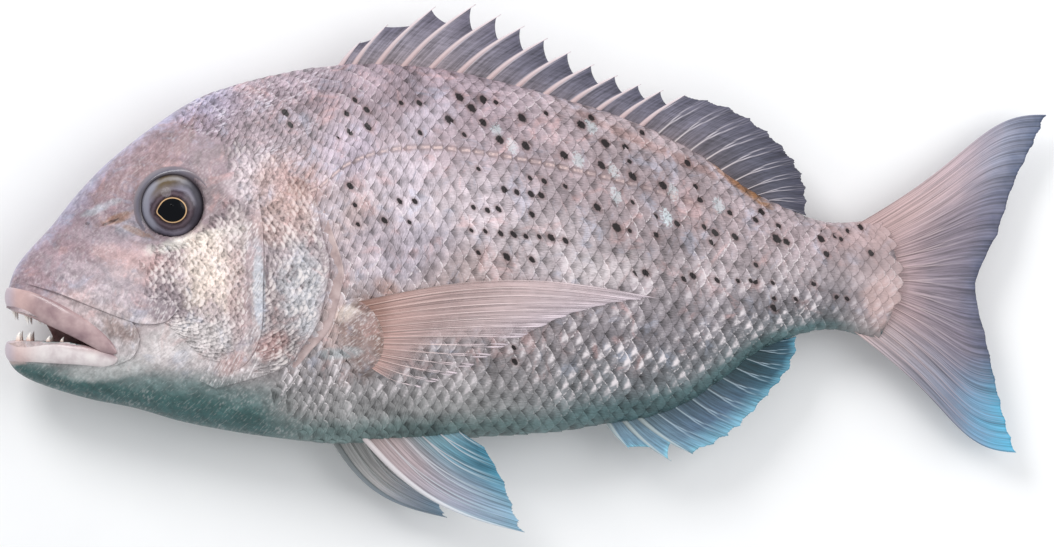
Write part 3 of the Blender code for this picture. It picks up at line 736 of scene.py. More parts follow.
def plate_finish():
    """Silvery skin over the bones of the head, which is drawn into fine scales and creases."""
    f = Finish("silver_plate_skin")
    x, y = f.place()
    colour = hide(f)
    rim = f.field("rim")
    fine = f.noise(420, 4, 0.62, swirl=0.6)
    scratch = f.strokes(62, 4.2, 0.8)
    strong = f.step(x - y * 0.5, 62, 90)
    # The bright strokes, strongest towards the rear, are partly painted glints on the silvery skin over its
    # streaky texture.
    colour = f.mix(colour, tone(242, 236, 238), f.step(scratch, 0.53, 0.66) * (0.2 + strong * 0.4))
    colour = f.mix(colour, tone(118, 98, 106), f.step(scratch, 0.44, 0.32) * (0.16 + strong * 0.36))
    bright, dark = sparkle(f, 66, 2.0, 1.1)
    # Painted glints: bright flecks.
    colour = f.mix(colour, tone(248, 240, 238), bright * (0.2 + strong * 0.3))
    colour = f.shade(colour, 0.78 + f.step(fine, 0.28, 0.72) * 0.46 - dark * 0.1)
    # Painted shade: a broken dark line along the plate's free edge.
    colour = f.mix(colour, tone(84, 66, 72), f.step(rim, 0.05, 0.0) * (0.2 + f.step(fine, 0.4, 0.6) * 0.5))
    return f.done(
        base_color=colour, roughness=0.32 + fine * 0.24, metallic=0.06, coat_weight=0.16, coat_roughness=0.16,
        specular_ior_level=0.35, normal=f.bump(fine * 0.6 + scratch, 0.5, 0.7),
    )


def head_scale_finish():
    """Small scales of the head: painted glints as bright uneven beads, over a ground darkened by painted
    shade towards each scale's root.
    """
    f = Finish("head_scales")
    y = f.place()[1]
    colour = hide(f)
    rim, own, across = f.field("rim"), f.field("tone"), f.field("across")
    fine = f.noise(900, 3, 0.65)
    cloud = f.noise(85, 3, 0.6, swirl=0.6)
    # Painted shade: each scale darker towards its root, where it slips under its neighbours.
    colour = f.shade(colour, 0.96 + own * 0.16 + (fine - 0.5) * 1.6 - f.step(rim, 0.3, 0.9) * 0.4)
    bead = f.step(abs(across), 0.9, 0.3) * f.step(abs(rim - 0.3), 0.42, 0.1)
    shown = f.step(own * 0.4 + (cloud - 0.5) * 2.4 + (fine - 0.5) * 1.0, -0.3, 0.45)
    # Painted glints: pale beads on some of the scales, fewer towards the top.
    colour = f.mix(colour, tone(248, 238, 235), bead * shown * (0.62 - f.step(y, 12, 30) * 0.36))
    return f.done(
        base_color=colour, roughness=0.34 + fine * 0.2, metallic=0.06, coat_weight=0.16, coat_roughness=0.16,
        specular_ior_level=0.35, normal=f.bump(fine + cloud, 0.4, 0.4),
    )


def scale_finish():
    """Scales: cloudy silver, painted shade at the roots, painted glints on rims and nape, painted highlight
    dashes in rows, dark spots and pale blots.
    """
    f = Finish("scales")
    x, y = f.place()
    colour = hide(f)
    rim, own, across = f.field("rim"), f.field("tone"), f.field("across")
    rise, line = f.field("rise"), f.field("line")
    fine = f.noise(900, 3, 0.65)
    upright_grain = f.strokes(74, 2.6, 0.45)
    level_grain = f.strokes(-6, 2.4, 0.42)
    grain = upright_grain + (level_grain - upright_grain) * f.step(x, 165, 215)
    cloud = f.noise(42, 4, 0.62, swirl=0.5)
    calm = 1 - f.step(x, 335, 380) * 0.6
    colour = f.mix(colour, tone(168, 144, 143), f.step(x + (cloud - 0.5) * 26, 346, 388) * 0.62)
    # Painted shade: darker towards each scale's root, where it slips under the scales in front, and a thin
    # dark line at its free edge.
    root = f.step(rim, 0.35, 0.95) * 0.5 + f.step(rim, 0.05, 0.0) * 0.2
    lit = 1.08 + (own * 0.13 + (cloud - 0.5) * 1.1 + (grain - 0.5) * 1.5 - root) * calm
    colour = f.shade(colour, lit)
    # Painted glints: bright flecks over the nape, with darker gaps between them.
    bright, dark = sparkle(f, 24, 2.6, 0.8)
    nape = f.step(x - y * 0.4, 128, 92)
    colour = f.mix(colour, tone(238, 230, 238), bright * nape * 0.5)
    colour = f.shade(colour, 1 - dark * nape * 0.28)
    # Painted highlight: pale dashes along the middle of the scales in rows, where the rows catch the light.
    painted_row_highlight = f.step(abs(across + (rim - 0.35) * 1.1), 0.42, 0.08) * f.step(abs(rim - 0.3), 0.36, 0.1)
    rows = f.step(rise, 0.66, 0.4) * f.step(x, 175, 250) + f.step(rise, 0.36, 0.22)
    shown = f.step(own * 0.25 + (cloud - 0.5) * 1.6 + (fine - 0.5), -0.25, 0.35)
    strong = calm * (0.5 + f.step(x, 205, 160) * 0.4)
    colour = f.mix(colour, tone(236, 227, 230), painted_row_highlight * rows * shown * f.step(rise, 0.05, 0.14) * strong)
    # Painted glints: broken bright marks along the free edges of the scales.
    glint = calm * f.step(rim, 0.22, 0.03) * f.step(fine + (cloud - 0.5) * 0.8 + own * 0.06, 0.54, 0.7)
    glint = glint * f.step(rise, 0.0, 0.14) * (0.72 - f.step(rise, 0.6, 0.8) * 0.34)
    colour = f.mix(colour, tone(248, 239, 241), glint)
    for centre in PALE_BLOTS:
        mask = f.blot(from_steps(*centre), (1.9, 3.2), 24, 0.5, 4.0, fine)
        colour = f.mix(colour, tone(216, 228, 232), mask * 0.42)
    broken = 0.35 + f.step(fine + (cloud - 0.5) * 0.6, 0.4, 0.6) * 0.65
    tube_side = f.step(abs(across), 0.42, 0.2) * line * f.step(x, 330, 250)
    tube_top = f.step(abs(across), 0.17, 0.06) * f.step(abs(rim - 0.42), 0.42, 0.28) * line * broken
    colour = f.mix(colour, tone(124, 100, 98), tube_side * 0.42)
    colour = f.mix(colour, tone(222, 196, 192), tube_top * f.step(x, 360, 230) * 0.75)
    size = f.field("spot_size")
    along, beside = turned(x - f.field("spot_x"), y - f.field("spot_y"), SPOT_LEAN)
    along, beside = along / (size * 1.75), beside / (size * 1.05)
    far = f.maths("SQRT", along * along + beside * beside) + (fine - 0.5) * 1.0 + own * 0.08
    colour = f.mix(colour, tone(116, 90, 88), f.step(far, 2.2, 1.0) * 0.5)
    colour = f.mix(colour, tone(20, 12, 14), f.step(far, 1.2, 0.8) * 0.97)
    return f.done(
        base_color=colour, roughness=0.36 + fine * 0.2, metallic=0.05, coat_weight=0.1, coat_roughness=0.18,
        specular_ior_level=0.3, normal=f.bump(grain * 0.7 + fine * 0.3, 0.5, 0.4),
    )


def lip_finish():
    """Soft wet lips, pink-tan with a paler lower jaw and a bluish front."""
    f = Finish("lips")
    x, y = f.place()
    cloud = f.noise(110, 3, 0.6)
    upper = f.ramp(cloud, [(0.3, (140, 112, 118)), (0.5, (168, 141, 143)), (0.7, (192, 166, 166))])
    lower = f.ramp(cloud, [(0.3, (196, 182, 184)), (0.5, (222, 212, 212)), (0.7, (232, 224, 222))])
    colour = f.mix(lower, upper, f.step(y + x * 0.22, -29.6, -26.0))
    colour = f.mix(colour, tone(214, 178, 172), f.step(x, 18, 6) * 0.6)
    colour = f.mix(colour, tone(176, 172, 192), f.step(x, 7, 1.5) * 0.55)
    fine = f.noise(650, 3, 0.6)
    colour = f.shade(colour, 0.92 + fine * 0.16)
    return f.done(
        base_color=colour, roughness=0.28 + fine * 0.16, coat_weight=0.45, coat_roughness=0.1,
        normal=f.bump(fine + cloud * 0.6, 0.25, 0.4),
    )


def mouth_finish():
    """The wet lining of the mouth, red-brown and darkened by painted shade that deepens towards the back."""
    f = Finish("mouth_lining")
    x = f.place()[0]
    cloud = f.noise(150, 3, 0.6)
    # Painted shade: the colour darkens further back into the mouth.
    colour = f.ramp(cloud + (x - 30) * 0.012, [
        (0.2, (152, 118, 118)), (0.42, (112, 78, 78)), (0.6, (84, 50, 48)), (0.8, (58, 28, 26))
    ])
    return f.done(
        base_color=colour, roughness=0.3 + cloud * 0.2, coat_weight=0.4, coat_roughness=0.12,
        normal=f.bump(cloud, 0.5, 1.0),
    )


def skirt_finish():
    """The smooth grey-pink skin behind the gill cover."""
    f = Finish("gill_skirt")
    cloud = f.noise(140, 3, 0.6)
    colour = f.ramp(cloud, [(0.3, (156, 134, 134)), (0.5, (186, 164, 162)), (0.7, (206, 186, 184))])
    # Painted reflection: teal towards the belly, standing for bluish-green light from around the fish.
    colour = f.mix(colour, tone(96, 116, 116), f.step(f.field("rise"), 0.16, 0.05))
    return f.done(
        base_color=colour, roughness=0.34 + cloud * 0.12, coat_weight=0.3, coat_roughness=0.14,
        normal=f.bump(cloud, 0.3, 0.5),
    )


def tooth_finish():
    """Wet cream teeth, pinker where they leave the gum."""
    f = Finish("teeth")
    root = f.field("rise")
    cloud = f.noise(500, 2, 0.5)
    colour = f.ramp(root + (cloud - 0.5) * 0.2, [
        (0.0, (216, 176, 168)), (0.18, (236, 216, 204)), (0.5, (246, 238, 230)), (1, (240, 238, 236))
    ])
    return f.done(
        base_color=colour, roughness=0.2 + cloud * 0.1, coat_weight=0.5, normal=f.bump(cloud, 0.15, 0.2),
    )


def eye_finish():
    """A clear wet eyeball: pear-shaped pupil in a thin gold ring, brown-violet iris, blue-grey outer ring."""
    f = Finish("eyeball")
    x, y = f.place()
    dx, dy = x - EYE_CENTRE[0], y - EYE_CENTRE[1]
    far = f.maths("SQRT", dx * dx + dy * dy)
    px, py = (dx - 0.3) * 1.13, (dy + 1.9) * 1.13
    nose = f.step(px, -1.0, -7.0) * f.step(abs(py - px * 0.35 - 1.6), 3.4, 0.0)
    pupil = f.maths("SQRT", px * px * 0.86 + py * py * 1.08) - nose * 0.9
    cloud = f.noise(260, 3, 0.6)
    turn = f.maths("ARCTAN2", dy, dx)
    rays = f.noise(1.0, 2, 0.6, f.vector(turn * 5.0, far * 0.3))
    iris = f.ramp((pupil - 5.8) / 8.0 + (rays - 0.5) * 0.2 + (cloud - 0.5) * 0.24, [
        (0.0, (92, 70, 64)), (0.12, (40, 28, 32)), (0.3, (94, 80, 88)), (0.46, (66, 54, 62)),
        (0.66, (122, 116, 130)), (0.84, (96, 92, 106)), (1, (50, 44, 52)),
    ])
    olive = f.step(dy - dx * 0.5 + (cloud - 0.5) * 3, 5.0, 11.5)
    iris = f.mix(iris, tone(112, 96, 72), olive * 0.75)
    # Painted reflection: a pale silvery crescent on the upper rear of the iris.
    silver = f.step(dx * 0.75 + dy * 0.65 + (cloud - 0.5) * 5, 5.6, 9.5)
    iris = f.mix(iris, tone(184, 182, 192), silver * 0.22)
    # Painted reflection: a faint pale arc near the outer edge of the iris, on its upper side.
    shine = f.step(abs(far - 11.6 + (cloud - 0.5) * 2), 1.2, 0.2) * f.step(dy + dx * 0.3, 1.5, 7.0)
    iris = f.mix(iris, tone(214, 214, 222), shine * 0.2)
    front = dx + (cloud - 0.5) * 4
    iris = f.mix(iris, tone(146, 146, 160), f.step(far, 9.0, 11.0) * f.step(front, -4.0, -9.0) * 0.85)
    # Painted shade: the outer ring darker on its rear side.
    iris = f.mix(iris, tone(52, 50, 58), f.step(far, 8.5, 11.0) * f.step(front, 4.0, 9.5) * 0.8)
    iris = f.mix(iris, tone(36, 30, 38), f.step(far, 12.1, 13.6) * 0.7)
    colour = f.mix(iris, tone(226, 186, 140), f.step(pupil, 6.55, 6.1))
    colour = f.mix(colour, tone(2, 4, 10), f.step(pupil, 6.1, 5.75))
    return f.done(
        base_color=colour, roughness=0.2, coat_weight=0.16, coat_roughness=0.03, specular_ior_level=0.08,
        normal=f.bump(rays, 0.08, 0.3),
    )


def eyelid_finish():
    """The soft rim of the eye socket."""
    f = Finish("eye_rim")
    x, y = f.place()
    across = f.field("rim")
    cloud = f.noise(200, 3, 0.6)
    # Painted shade: darkest at the inner edge, in the crease against the eyeball.
    colour = f.ramp(across + (cloud - 0.5) * 0.2, [
        (0.0, (60, 52, 58)), (0.22, (76, 70, 78)), (0.45, (100, 96, 110)), (0.7, (118, 108, 117)),
        (1, (154, 136, 142)),
    ])
    # Painted highlight: the lower part of the rim whitened, running on into the silver band under the eye.
    colour = f.mix(colour, tone(226, 226, 222), f.step(y - x * 0.25, -4.6, -7.6) * 0.6)
    # Painted shade: darker towards the rear side of the rim.
    colour = f.mix(colour, tone(112, 98, 104), f.step(x - EYE_CENTRE[0] + (cloud - 0.5) * 8, 2, 12) * 0.5)
    return f.done(
        base_color=colour, roughness=0.3 + cloud * 0.1, coat_weight=0.5, coat_roughness=0.1,
        normal=f.bump(cloud, 0.3, 0.4),
    )


def fin_finish(name, membrane, bones, clear=0.0, streaks=0.06, webs_down=(), bars=0.0):
    """A fin: membrane coloured by how far out it is, paler rays and fine streaks that run along them.

    webs_down gives the membrane's colours further down: the rays between which it changes, and its stops.
    """
    f = Finish(name)
    ray, along, across = f.field("ray"), f.field("along"), f.field("across")
    cloud = f.noise(120, 3, 0.6)
    streak = f.noise(1.0, 4, 0.7, f.vector(across * 9.0, along * 1.4))
    out = along + (cloud - 0.5) * 0.16
    colour = f.ramp(out, membrane)
    for start, end, stops in webs_down:
        colour = f.mix(colour, f.ramp(out, stops), f.step(across, start, end))
    lit = 1 - streaks + f.step(streak, 0.3, 0.7) * (2 * streaks)
    if bars:
        lit = lit + (f.strokes(-12, 9.0, 1.3) - 0.5) * bars
    colour = f.shade(colour, lit)
    shown = f.step(ray, 0.25, 0.9) * (0.55 + streak * 0.4) * f.step(along, 1.25, 0.5)
    colour = f.mix(colour, f.ramp(out, bones), shown)
    fine = f.noise(600, 3, 0.6)
    sockets = {}
    if clear:
        low = f.step(across, 5.0, 9.0) * f.step(along, 0.25, 0.6)
        film = f.step(ray, 0.8, 0.2) * f.step(along, 0.12, 0.4)
        sockets["alpha"] = 1 - film * (clear + low * 0.35) - low * 0.25
    return f.done(
        base_color=colour, roughness=0.38 + fine * 0.18, coat_weight=0.12, coat_roughness=0.18,
        specular_ior_level=0.3, normal=f.bump(streak + fine * 0.3, 0.35, 0.35), **sockets,
    )


# Body


def eye_height(side, far):
    """Height over the table of the eyeball at distances from its centre line."""
    x, y = EYE_CENTRE
    centre = middle(x) + side * (half_depth(x, y) - EYE_SINK)
    return centre + side * EYE_DEPTH * np.sqrt(np.maximum(0, 1 - (far / EYE_RADIUS) ** 2))


def relief(x, y):
    """How far the skin of the head stands proud of the plain form."""
    dx, dy = x - EYE_CENTRE[0], y - EYE_CENTRE[1]
    far = np.hypot(dx, dy)
    made = -SOCKET_DEPTH * (1 - ease(*SOCKET_EDGE, far))
    made = made + BROW_RISE * np.exp(-(((far - 17.5) / 3.2) ** 2)) * (0.5 + 0.5 * dy / np.maximum(far, 1))
    made = made - BROW_RISE * np.exp(-(((far - 18.5) / 3.0) ** 2)) * (0.5 - 0.5 * dy / np.maximum(far, 1))
    ahead = ease(0.1, 0.8, -dx / np.maximum(far, 1)) * ease(-8, 2, dy)
    wrinkles = WRINKLE_RISE * np.sin(far * 2.6 + 0.4 * np.sin(dy * 0.7))
    made = made + wrinkles * np.exp(-(((far - 23.5) / 4.5) ** 2)) * ahead
    for cx, cy, rx, ry, turn, deep in (NOSTRIL_SLIT, NOSTRIL_HOLE, NOSTRIL_FOLD, NOSTRIL_RIDGE):
        u, v = turned(x - cx, y - cy, turn, rx, ry)
        made = made - deep * np.exp(-(u**2) - v**2)
    return made


def body_skin(look, lining):
    """The skin of head and trunk, with the eye sockets sunk in and the gape cut through."""
    snout = 1 + 9 * np.linspace(0, 1, 22, endpoint=False) ** 1.4
    xs = np.concatenate([snout, np.arange(10, 112, 0.8), np.arange(112, BODY_END, 1.9), [BODY_END]])
    around = 300
    x, angle = np.meshgrid(xs, turns(around) - math.pi / 2, indexing="ij")
    place_x, y, depth = section(x, angle)
    points = np.stack([place_x, y, depth], -1)
    ahead = np.gradient(points, xs, axis=0)
    round_it = np.roll(points, -1, 1) - np.roll(points, 1, 1)
    out = cross(ahead, round_it)
    left_flank = around // 4
    out = out * np.sign(out[40, left_flank, 2])
    rise = relief(x, y) * ease(120, 105, x) * (np.abs(np.cos(angle)) > 0.05)
    points = points + out * rise[..., None]
    points[..., 2] = pressed(middle(points[..., 0]) + points[..., 2])
    points = points.reshape(-1, 3)
    rings = len(xs)
    faces = grid_faces(rings, around, closed=True)
    for ring, flip in ((0, 1), (rings - 1, -1)):
        own = np.arange(ring * around, (ring + 1) * around)
        hub = len(points)
        points = np.vstack([points, points[own].mean(0)])
        faces += [[hub, own[k], own[(k + 1) % around]][::flip] for k in range(around)]
    made = piece("body_skin", points, faces, look, fields={"rise": height_share(points[:, 0], points[:, 1])})
    cut_gape(made, lining)


def cut_gape(made, lining):
    """Cuts the open mouth through the skin and lines the cut."""
    low, high = -5.0, 2 * MID_HEIGHT + 5
    block = np.array([(x, y, z) for z in (low, high) for x, y in GAPE])
    count = len(GAPE)
    ends = [list(range(count)), list(range(2 * count - 1, count - 1, -1))]
    faces = outward(block, grid_faces(2, count, closed=True) + ends)
    mesh = bpy.data.meshes.new("gape")
    mesh.from_pydata(((block - (TOTAL_LENGTH / 2, 0, 0)) * MM).tolist(), [], faces)
    mesh.materials.append(lining)
    cutter = bpy.data.objects.new("gape", mesh)
    bpy.context.scene.collection.objects.link(cutter)
    cut = made.modifiers.new("gape", "BOOLEAN")
    cut.operation, cut.solver, cut.material_mode = "DIFFERENCE", "EXACT", "TRANSFER"
    cut.object = cutter
    bpy.context.view_layer.update()
    result = bpy.data.meshes.new_from_object(made.evaluated_get(bpy.context.evaluated_depsgraph_get()))
    made.modifiers.clear()
    made.data = result
    bpy.data.objects.remove(cutter)


def eyes(look, rim_look):
    """The eyeballs, and a soft rim where each meets the skin."""
    x, y = EYE_CENTRE
    for name, side in SIDE_NAMES:
        rings, sides = 40, 72
        polar, turn = np.meshgrid(np.linspace(0.02, 0.62 * math.pi, rings), turns(sides), indexing="ij")
        far = EYE_RADIUS * np.sin(polar)
        dome = CORNEA_RISE * np.exp(-((far / CORNEA_RADIUS) ** 2))
        z = middle(x) + side * (half_depth(x, y) - EYE_SINK + EYE_DEPTH * np.cos(polar) + dome)
        points = np.stack([x + far * np.cos(turn), y + far * np.sin(turn), z], -1)
        piece("eyeball_" + name, points, tube_faces(rings, sides), look, "eye", "eye_" + name)
        rings, sides = 15, 96
        q, turn = np.meshgrid(np.linspace(0, 1, rings), turns(sides), indexing="ij")
        far = LID_INNER + LID_WIDTH * q
        rx, ry = x + far * np.cos(turn), y + far * np.sin(turn)
        skin = middle(rx) + side * (half_depth(rx, ry) + relief(rx, ry))
        ball = eye_height(side, np.minimum(far, 13.4)) + side * 0.25
        z = ball + (skin - side * 0.35 - ball) * ease(0.15, 0.85, q)
        crown = LID_CROWN * np.sin(math.pi * np.clip(q * 1.1, 0, 1)) ** 0.8 * (0.75 + 0.25 * np.sin(turn))
        z = z + side * (crown - 1.2 * ease(0.14, 0.0, q))
        faces = grid_faces(rings, sides, closed=True)
        piece("eye_rim_" + name, np.stack([rx, ry, z], -1), faces, rim_look, fields={"rim": q}, side=side)


def smoothed(values):
    """Values averaged over a few neighbours."""
    return np.convolve(np.pad(values, 3, "edge"), np.ones(7) / 7, "valid")


def lip(name, line, sizes, look):
    """A fleshy lip, from one corner of the mouth round the front to the other."""
    steps, sides = 70, 30
    front, corner = line[0][0], line[-1][0]
    share = np.abs(np.linspace(-1, 1, 2 * steps + 1))
    x = front + (corner - front) * share**1.8
    y, tall = curve(line, x), curve(sizes, 1 - share)
    proud = 1.5 * ease(0.35, 0.8, share) - 1.6
    out = np.maximum(0.0, half_depth(x, y) + proud) * np.minimum(1, share * 40)
    z = np.where(np.arange(len(x)) < steps, out, -out)
    x, z = smoothed(x), smoothed(z)
    ahead_x, ahead_z = np.gradient(x), np.gradient(z)
    length = np.hypot(ahead_x, ahead_z)
    turn = turns(sides)
    reach = np.cos(turn)[None]
    fold = 1 + 0.07 * np.sin(3 * turn + 0.6)[None]
    reach = reach * np.where(reach > 0, 1.8 * (0.5 + tall[:, None] / 8), 2.0)
    points = np.stack([
        x[:, None] + (ahead_z / length)[:, None] * reach,
        y[:, None] + tall[:, None] * np.sin(turn)[None] * fold,
        middle(x)[:, None] + z[:, None] - (ahead_x / length)[:, None] * reach,
    ], -1)
    piece(name, points, tube_faces(2 * steps + 1, sides), look)


def teeth(look):
    """Curved canines on both sides of both jaws."""
    parts, grown, sides = [], [], 14
    for x, gum, length, radius in UPPER_TEETH + LOWER_TEETH:
        for side in (1, -1):
            z = middle(x) + side * max(3.6, float(half_depth(x, gum)) - 3.4)
            t = np.linspace(-0.3, 1, 14)
            route = np.stack([x + 0.9 * t * t, gum - length * t, z + 0 * t], -1)
            radii = radius * np.clip(1.05 - 0.95 * np.maximum(t, 0) ** 1.5, 0.1, 1)
            parts.append(tube(route, radii, sides))
            grown.append(np.repeat(np.clip(t, 0, 1), sides))
    piece("teeth", *gathered(parts), look, fields={"rise": np.concatenate(grown)})


def mouth_inside(look):
    """The palate, cheeks and tongue that close the mouth off behind the teeth."""
    rows, columns = 26, 30
    down, back = np.meshgrid(np.linspace(0, 1, rows), np.linspace(0, 1, columns), indexing="ij")
    front_x, front_y = path(MOUTH_FRONT, down)
    rear_x, rear_y = path(MOUTH_REAR, down)
    x, y = front_x + (rear_x - front_x) * back, front_y + (rear_y - front_y) * back
    thick = 0.4 + 8.5 * back**0.7 * (0.75 + 0.25 * np.cos(math.pi * (down - 0.5)))
    points = np.stack([np.stack([x, y, middle(x) + side * thick], -1) for side in (1, -1)])
    piece("mouth_inside", points, sheet_faces(rows, columns), look)


def plate_stand(lift, down, t):
    """How far a bony plate stands off the skin, from t = 0 under the skin to t = 1 at the free edge."""
    rise = lift * np.minimum(ease(-0.02, 0.25, down), 0.3 + 3 * (1 - down))
    return -0.25 + (rise + 0.25) * np.clip(t, 0, 1) ** 1.3


def gill_skirt(name, side, look):
    """The soft skin that hangs out from under the gill cover's free edge."""
    downs = [k[0] for k in GILL_EDGE]
    wide, lean = curve(SKIRT_WIDTH, downs), curve(SKIRT_LEAN, downs)
    inner = [(k, x - 4.0, y + 2.0 * m) for (k, x, y), m in zip(GILL_EDGE, -lean)]
    edge = [(k, x + w * (1 + 0.4 * m), y + w * m) for (k, x, y), w, m in zip(GILL_EDGE, wide, lean)]
    plate("gill_skirt_" + name, side, inner, edge, SKIRT_LIFT, look, across=14, last=0.82)


def plate(name, side, inner, edge, lift, look, across=40, last=1.0):
    """A plate of the head that rises from under the skin to a rounded free edge."""
    along = 120
    t = np.concatenate([np.linspace(0, 1, across), [1.006, 1.008, 1.002, 0.985]])
    drop = np.concatenate([np.zeros(across - 1), [-0.08, -0.35, -0.8, -1.4, -2.2]])
    down, t = np.meshgrid(np.linspace(0, last, along), t, indexing="ij")
    (ax, ay), (bx, by) = path(inner, down), path(edge, down)
    x, y = ax + (bx - ax) * t, ay + (by - ay) * t
    stand = plate_stand(lift, down, t) + drop[None] - 0.7 * ease(0.1, 0.0, down)
    z = np.maximum(middle(x) + side * (half_depth(x, y) + stand), FIN_FLOOR)
    rim = np.clip((1 - t) * 3 + ease(0.2, 0.0, down), 0, 1)
    fields = {"rim": rim, "rise": height_share(x, y)}
    piece(name, np.stack([x, y, z], -1), grid_faces(along, len(drop)), look, fields=fields, side=side)


# Scales


def flank_table():
    """The skin by distance from the snout and by distance up or down the section from the side line."""
    xs = np.arange(SCALED_FROM, SCALED_TO, 1.5)
    bs = np.arange(-170.0, 120.0, 1.0)
    table = np.zeros((len(xs), len(bs), 3))
    angle = np.linspace(-0.75 * math.pi, 0.75 * math.pi, 2400)
    for i, x in enumerate(xs):
        place_x, y, depth = section(np.full_like(angle, x), angle)
        length = np.concatenate([[0], np.cumsum(np.hypot(np.diff(y), np.diff(depth)))])
        front = np.abs(angle) < math.pi / 2
        start = np.interp(float(curve(LATERAL, x)), y[front], length[front])
        for k, values in enumerate((place_x, y, depth)):
            table[i, :, k] = np.interp(bs + start, length, values)
    return xs, bs, table


FLANK = flank_table()


def on_flank(x, b):
    """Places on the left flank, as distance, height and half-depth."""
    xs, bs, table = FLANK
    i = np.clip((x - xs[0]) / (xs[1] - xs[0]), 0, len(xs) - 1.001)
    j = np.clip((b - bs[0]) / (bs[1] - bs[0]), 0, len(bs) - 1.001)
    i0, j0 = i.astype(int), j.astype(int)
    u, v = (i - i0)[..., None], (j - j0)[..., None]
    return ((table[i0, j0] * (1 - u) + table[i0 + 1, j0] * u) * (1 - v)
            + (table[i0, j0 + 1] * (1 - u) + table[i0 + 1, j0 + 1] * u) * v)


def flank_places():
    """Middles of the scales of one flank: distance, place up the section, size and row."""
    step = 0.25
    fine = np.arange(SCALED_FROM, SCALED_TO, step)
    count = np.concatenate([[0], np.cumsum(step / (SCALE_PITCH * curve(SCALE_SHARE, fine)))])[:-1]
    made = []
    for row in range(-32, 34):
        columns = np.arange(0, count[-1], 1) + (0.5 if row % 2 else 0.0)
        x = np.interp(columns, count, fine)
        size = curve(SCALE_SHARE, x)
        up = 0.8 if row > 0 else 1.0
        b = row * ROW_PITCH * up * size**0.9
        point = on_flank(x, b)
        y = point[:, 1]
        ragged = chance.uniform(0, 9, len(x)) * ease(-38, -48, y)
        keep = (x > curve(SCALES_BEGIN, y) + ragged) & (point[:, 2] > 0.25)
        keep &= point[:, 0] < 386 - 5 * ((y + 5) / 18) ** 2 + 1.5 * np.sin(row * 2.4)
        keep &= (y < curve(BACK, x) - 0.2) & (y > curve(BELLY, x) + 0.2)
        for k in np.flatnonzero(keep):
            made.append((x[k], b[k], size[k], row, up))
    return np.array(made)


def spot_size(spot):
    """How large a dark spot is, as a share of a scale: a few are big, and the rest differ a little."""
    return 1.3 if spot in BIG_SPOTS else 0.68 + 0.42 * math.sin(spot[0] * spot[1]) ** 2


def lay_scales(name, places, side, look, surface=on_flank, pitch=SCALE_PITCH, row_pitch=ROW_PITCH, high=1.0):
    """Scales like roof tiles, each with its free edge to the rear and lifted."""
    w, t = np.meshgrid(SCALE_ACROSS, SCALE_DOWN, indexing="ij")
    margin = 0.5 - 0.5 * np.abs(w) ** SCALE_ROUND
    a = -SCALE_ROOT + (margin + SCALE_ROOT) * t
    last = np.zeros_like(t)
    last[:, -1] = 1
    lift = 0.3 + SCALE_SLOPE * a - last * 0.34
    a = a - last * 0.012
    x0, b0, size, row, up = [places[:, k][:, None, None] for k in range(5)]
    count = len(places)
    own = chance.uniform(-1, 1, count) + banding(places)
    tilt = chance.normal(0, 0.05, count)[:, None, None]
    length = pitch * size * (1 + chance.normal(0, 0.06, count)[:, None, None])
    x = x0 + a * length + pitch * chance.normal(0, 0.035, count)[:, None, None]
    b = b0 + w * row_pitch * up * size**0.9 + a * tilt * 3
    point, step_x, step_b = surface(x, b), surface(x + 0.6, b), surface(x, b + 0.6)
    out = cross(step_x - point, step_b - point)
    out = out * np.sign(out[..., 2].sum())
    ridge = 0.45 * np.exp(-((w / 0.2) ** 2)) * ease(-0.5, -0.2, a) * (row == 0)
    lift = lift * (0.55 + 0.45 * size) * high + tilt * w * 0.9 * high + ridge
    lift = lift * (1 - 0.85 * ease(350, 382, x)) if surface is on_flank else lift
    point = point + out * lift[..., None]
    px, py, depth = point[..., 0], point[..., 1], point[..., 2]
    skin = pressed(middle(px) + side * (depth - out[..., 2] * lift))
    z = np.maximum(skin + side * out[..., 2] * lift, SCALE_FLOOR)
    start = (np.arange(count) * w.size)[:, None, None]
    faces = (np.array(grid_faces(*w.shape))[None] + start).reshape(-1, 4).tolist()
    mid_x, mid_y = px[:, 2:4, 3:5].mean((1, 2)), py[:, 2:4, 3:5].mean((1, 2))
    spot_x, spot_y = from_steps(*np.array(SPOTS, float).T)
    gap = np.hypot(mid_x[:, None] - spot_x, mid_y[:, None] - spot_y)
    nearest = gap.argmin(1)
    big = np.array([spot_size(spot) for spot in SPOTS])
    rim = np.clip((margin - a) / SCALE_ROOT, 0, 1) + 0 * px

    def same(values):
        """One value for all of a scale."""
        return np.broadcast_to(values[:, None, None], px.shape)

    fields = {
        "rim": rim, "tone": same(own), "spot_x": same(spot_x[nearest]), "spot_y": same(spot_y[nearest]),
        "spot_size": same(big[nearest]), "line": (row == 0) + 0 * px, "across": w + 0 * px,
        "rise": height_share(px, py),
    }
    piece(name, np.stack([px, py, z], -1), faces, look, fields=fields, side=side)


def banding(places):
    """How the rows under the side line run lighter and darker towards the tail."""
    x, row = places[:, 0], places[:, 3]
    return 0.7 * np.sin(row * 2.1) * ease(215, 275, x) * (row < -3) * (row > -20)


def plate_surface(inner, edge, lift):
    """A bony plate as a surface for scales: distance before its free edge, and distance down that edge."""
    downs = np.linspace(0, 1, 200)
    ex, ey = path(edge, downs)
    run = np.concatenate([[0], np.cumsum(np.hypot(np.diff(ex), np.diff(ey)))])

    def surface(u, v):
        down = np.interp(v, run, downs)
        (ax, ay), (bx, by) = path(inner, down), path(edge, down)
        t = 1 + u / np.hypot(bx - ax, by - ay)
        x, y = ax + (bx - ax) * t, ay + (by - ay) * t
        return np.stack([x, y, half_depth(x, y) + np.maximum(plate_stand(lift, down, t), 0.0)], -1)

    return surface, run[-1]


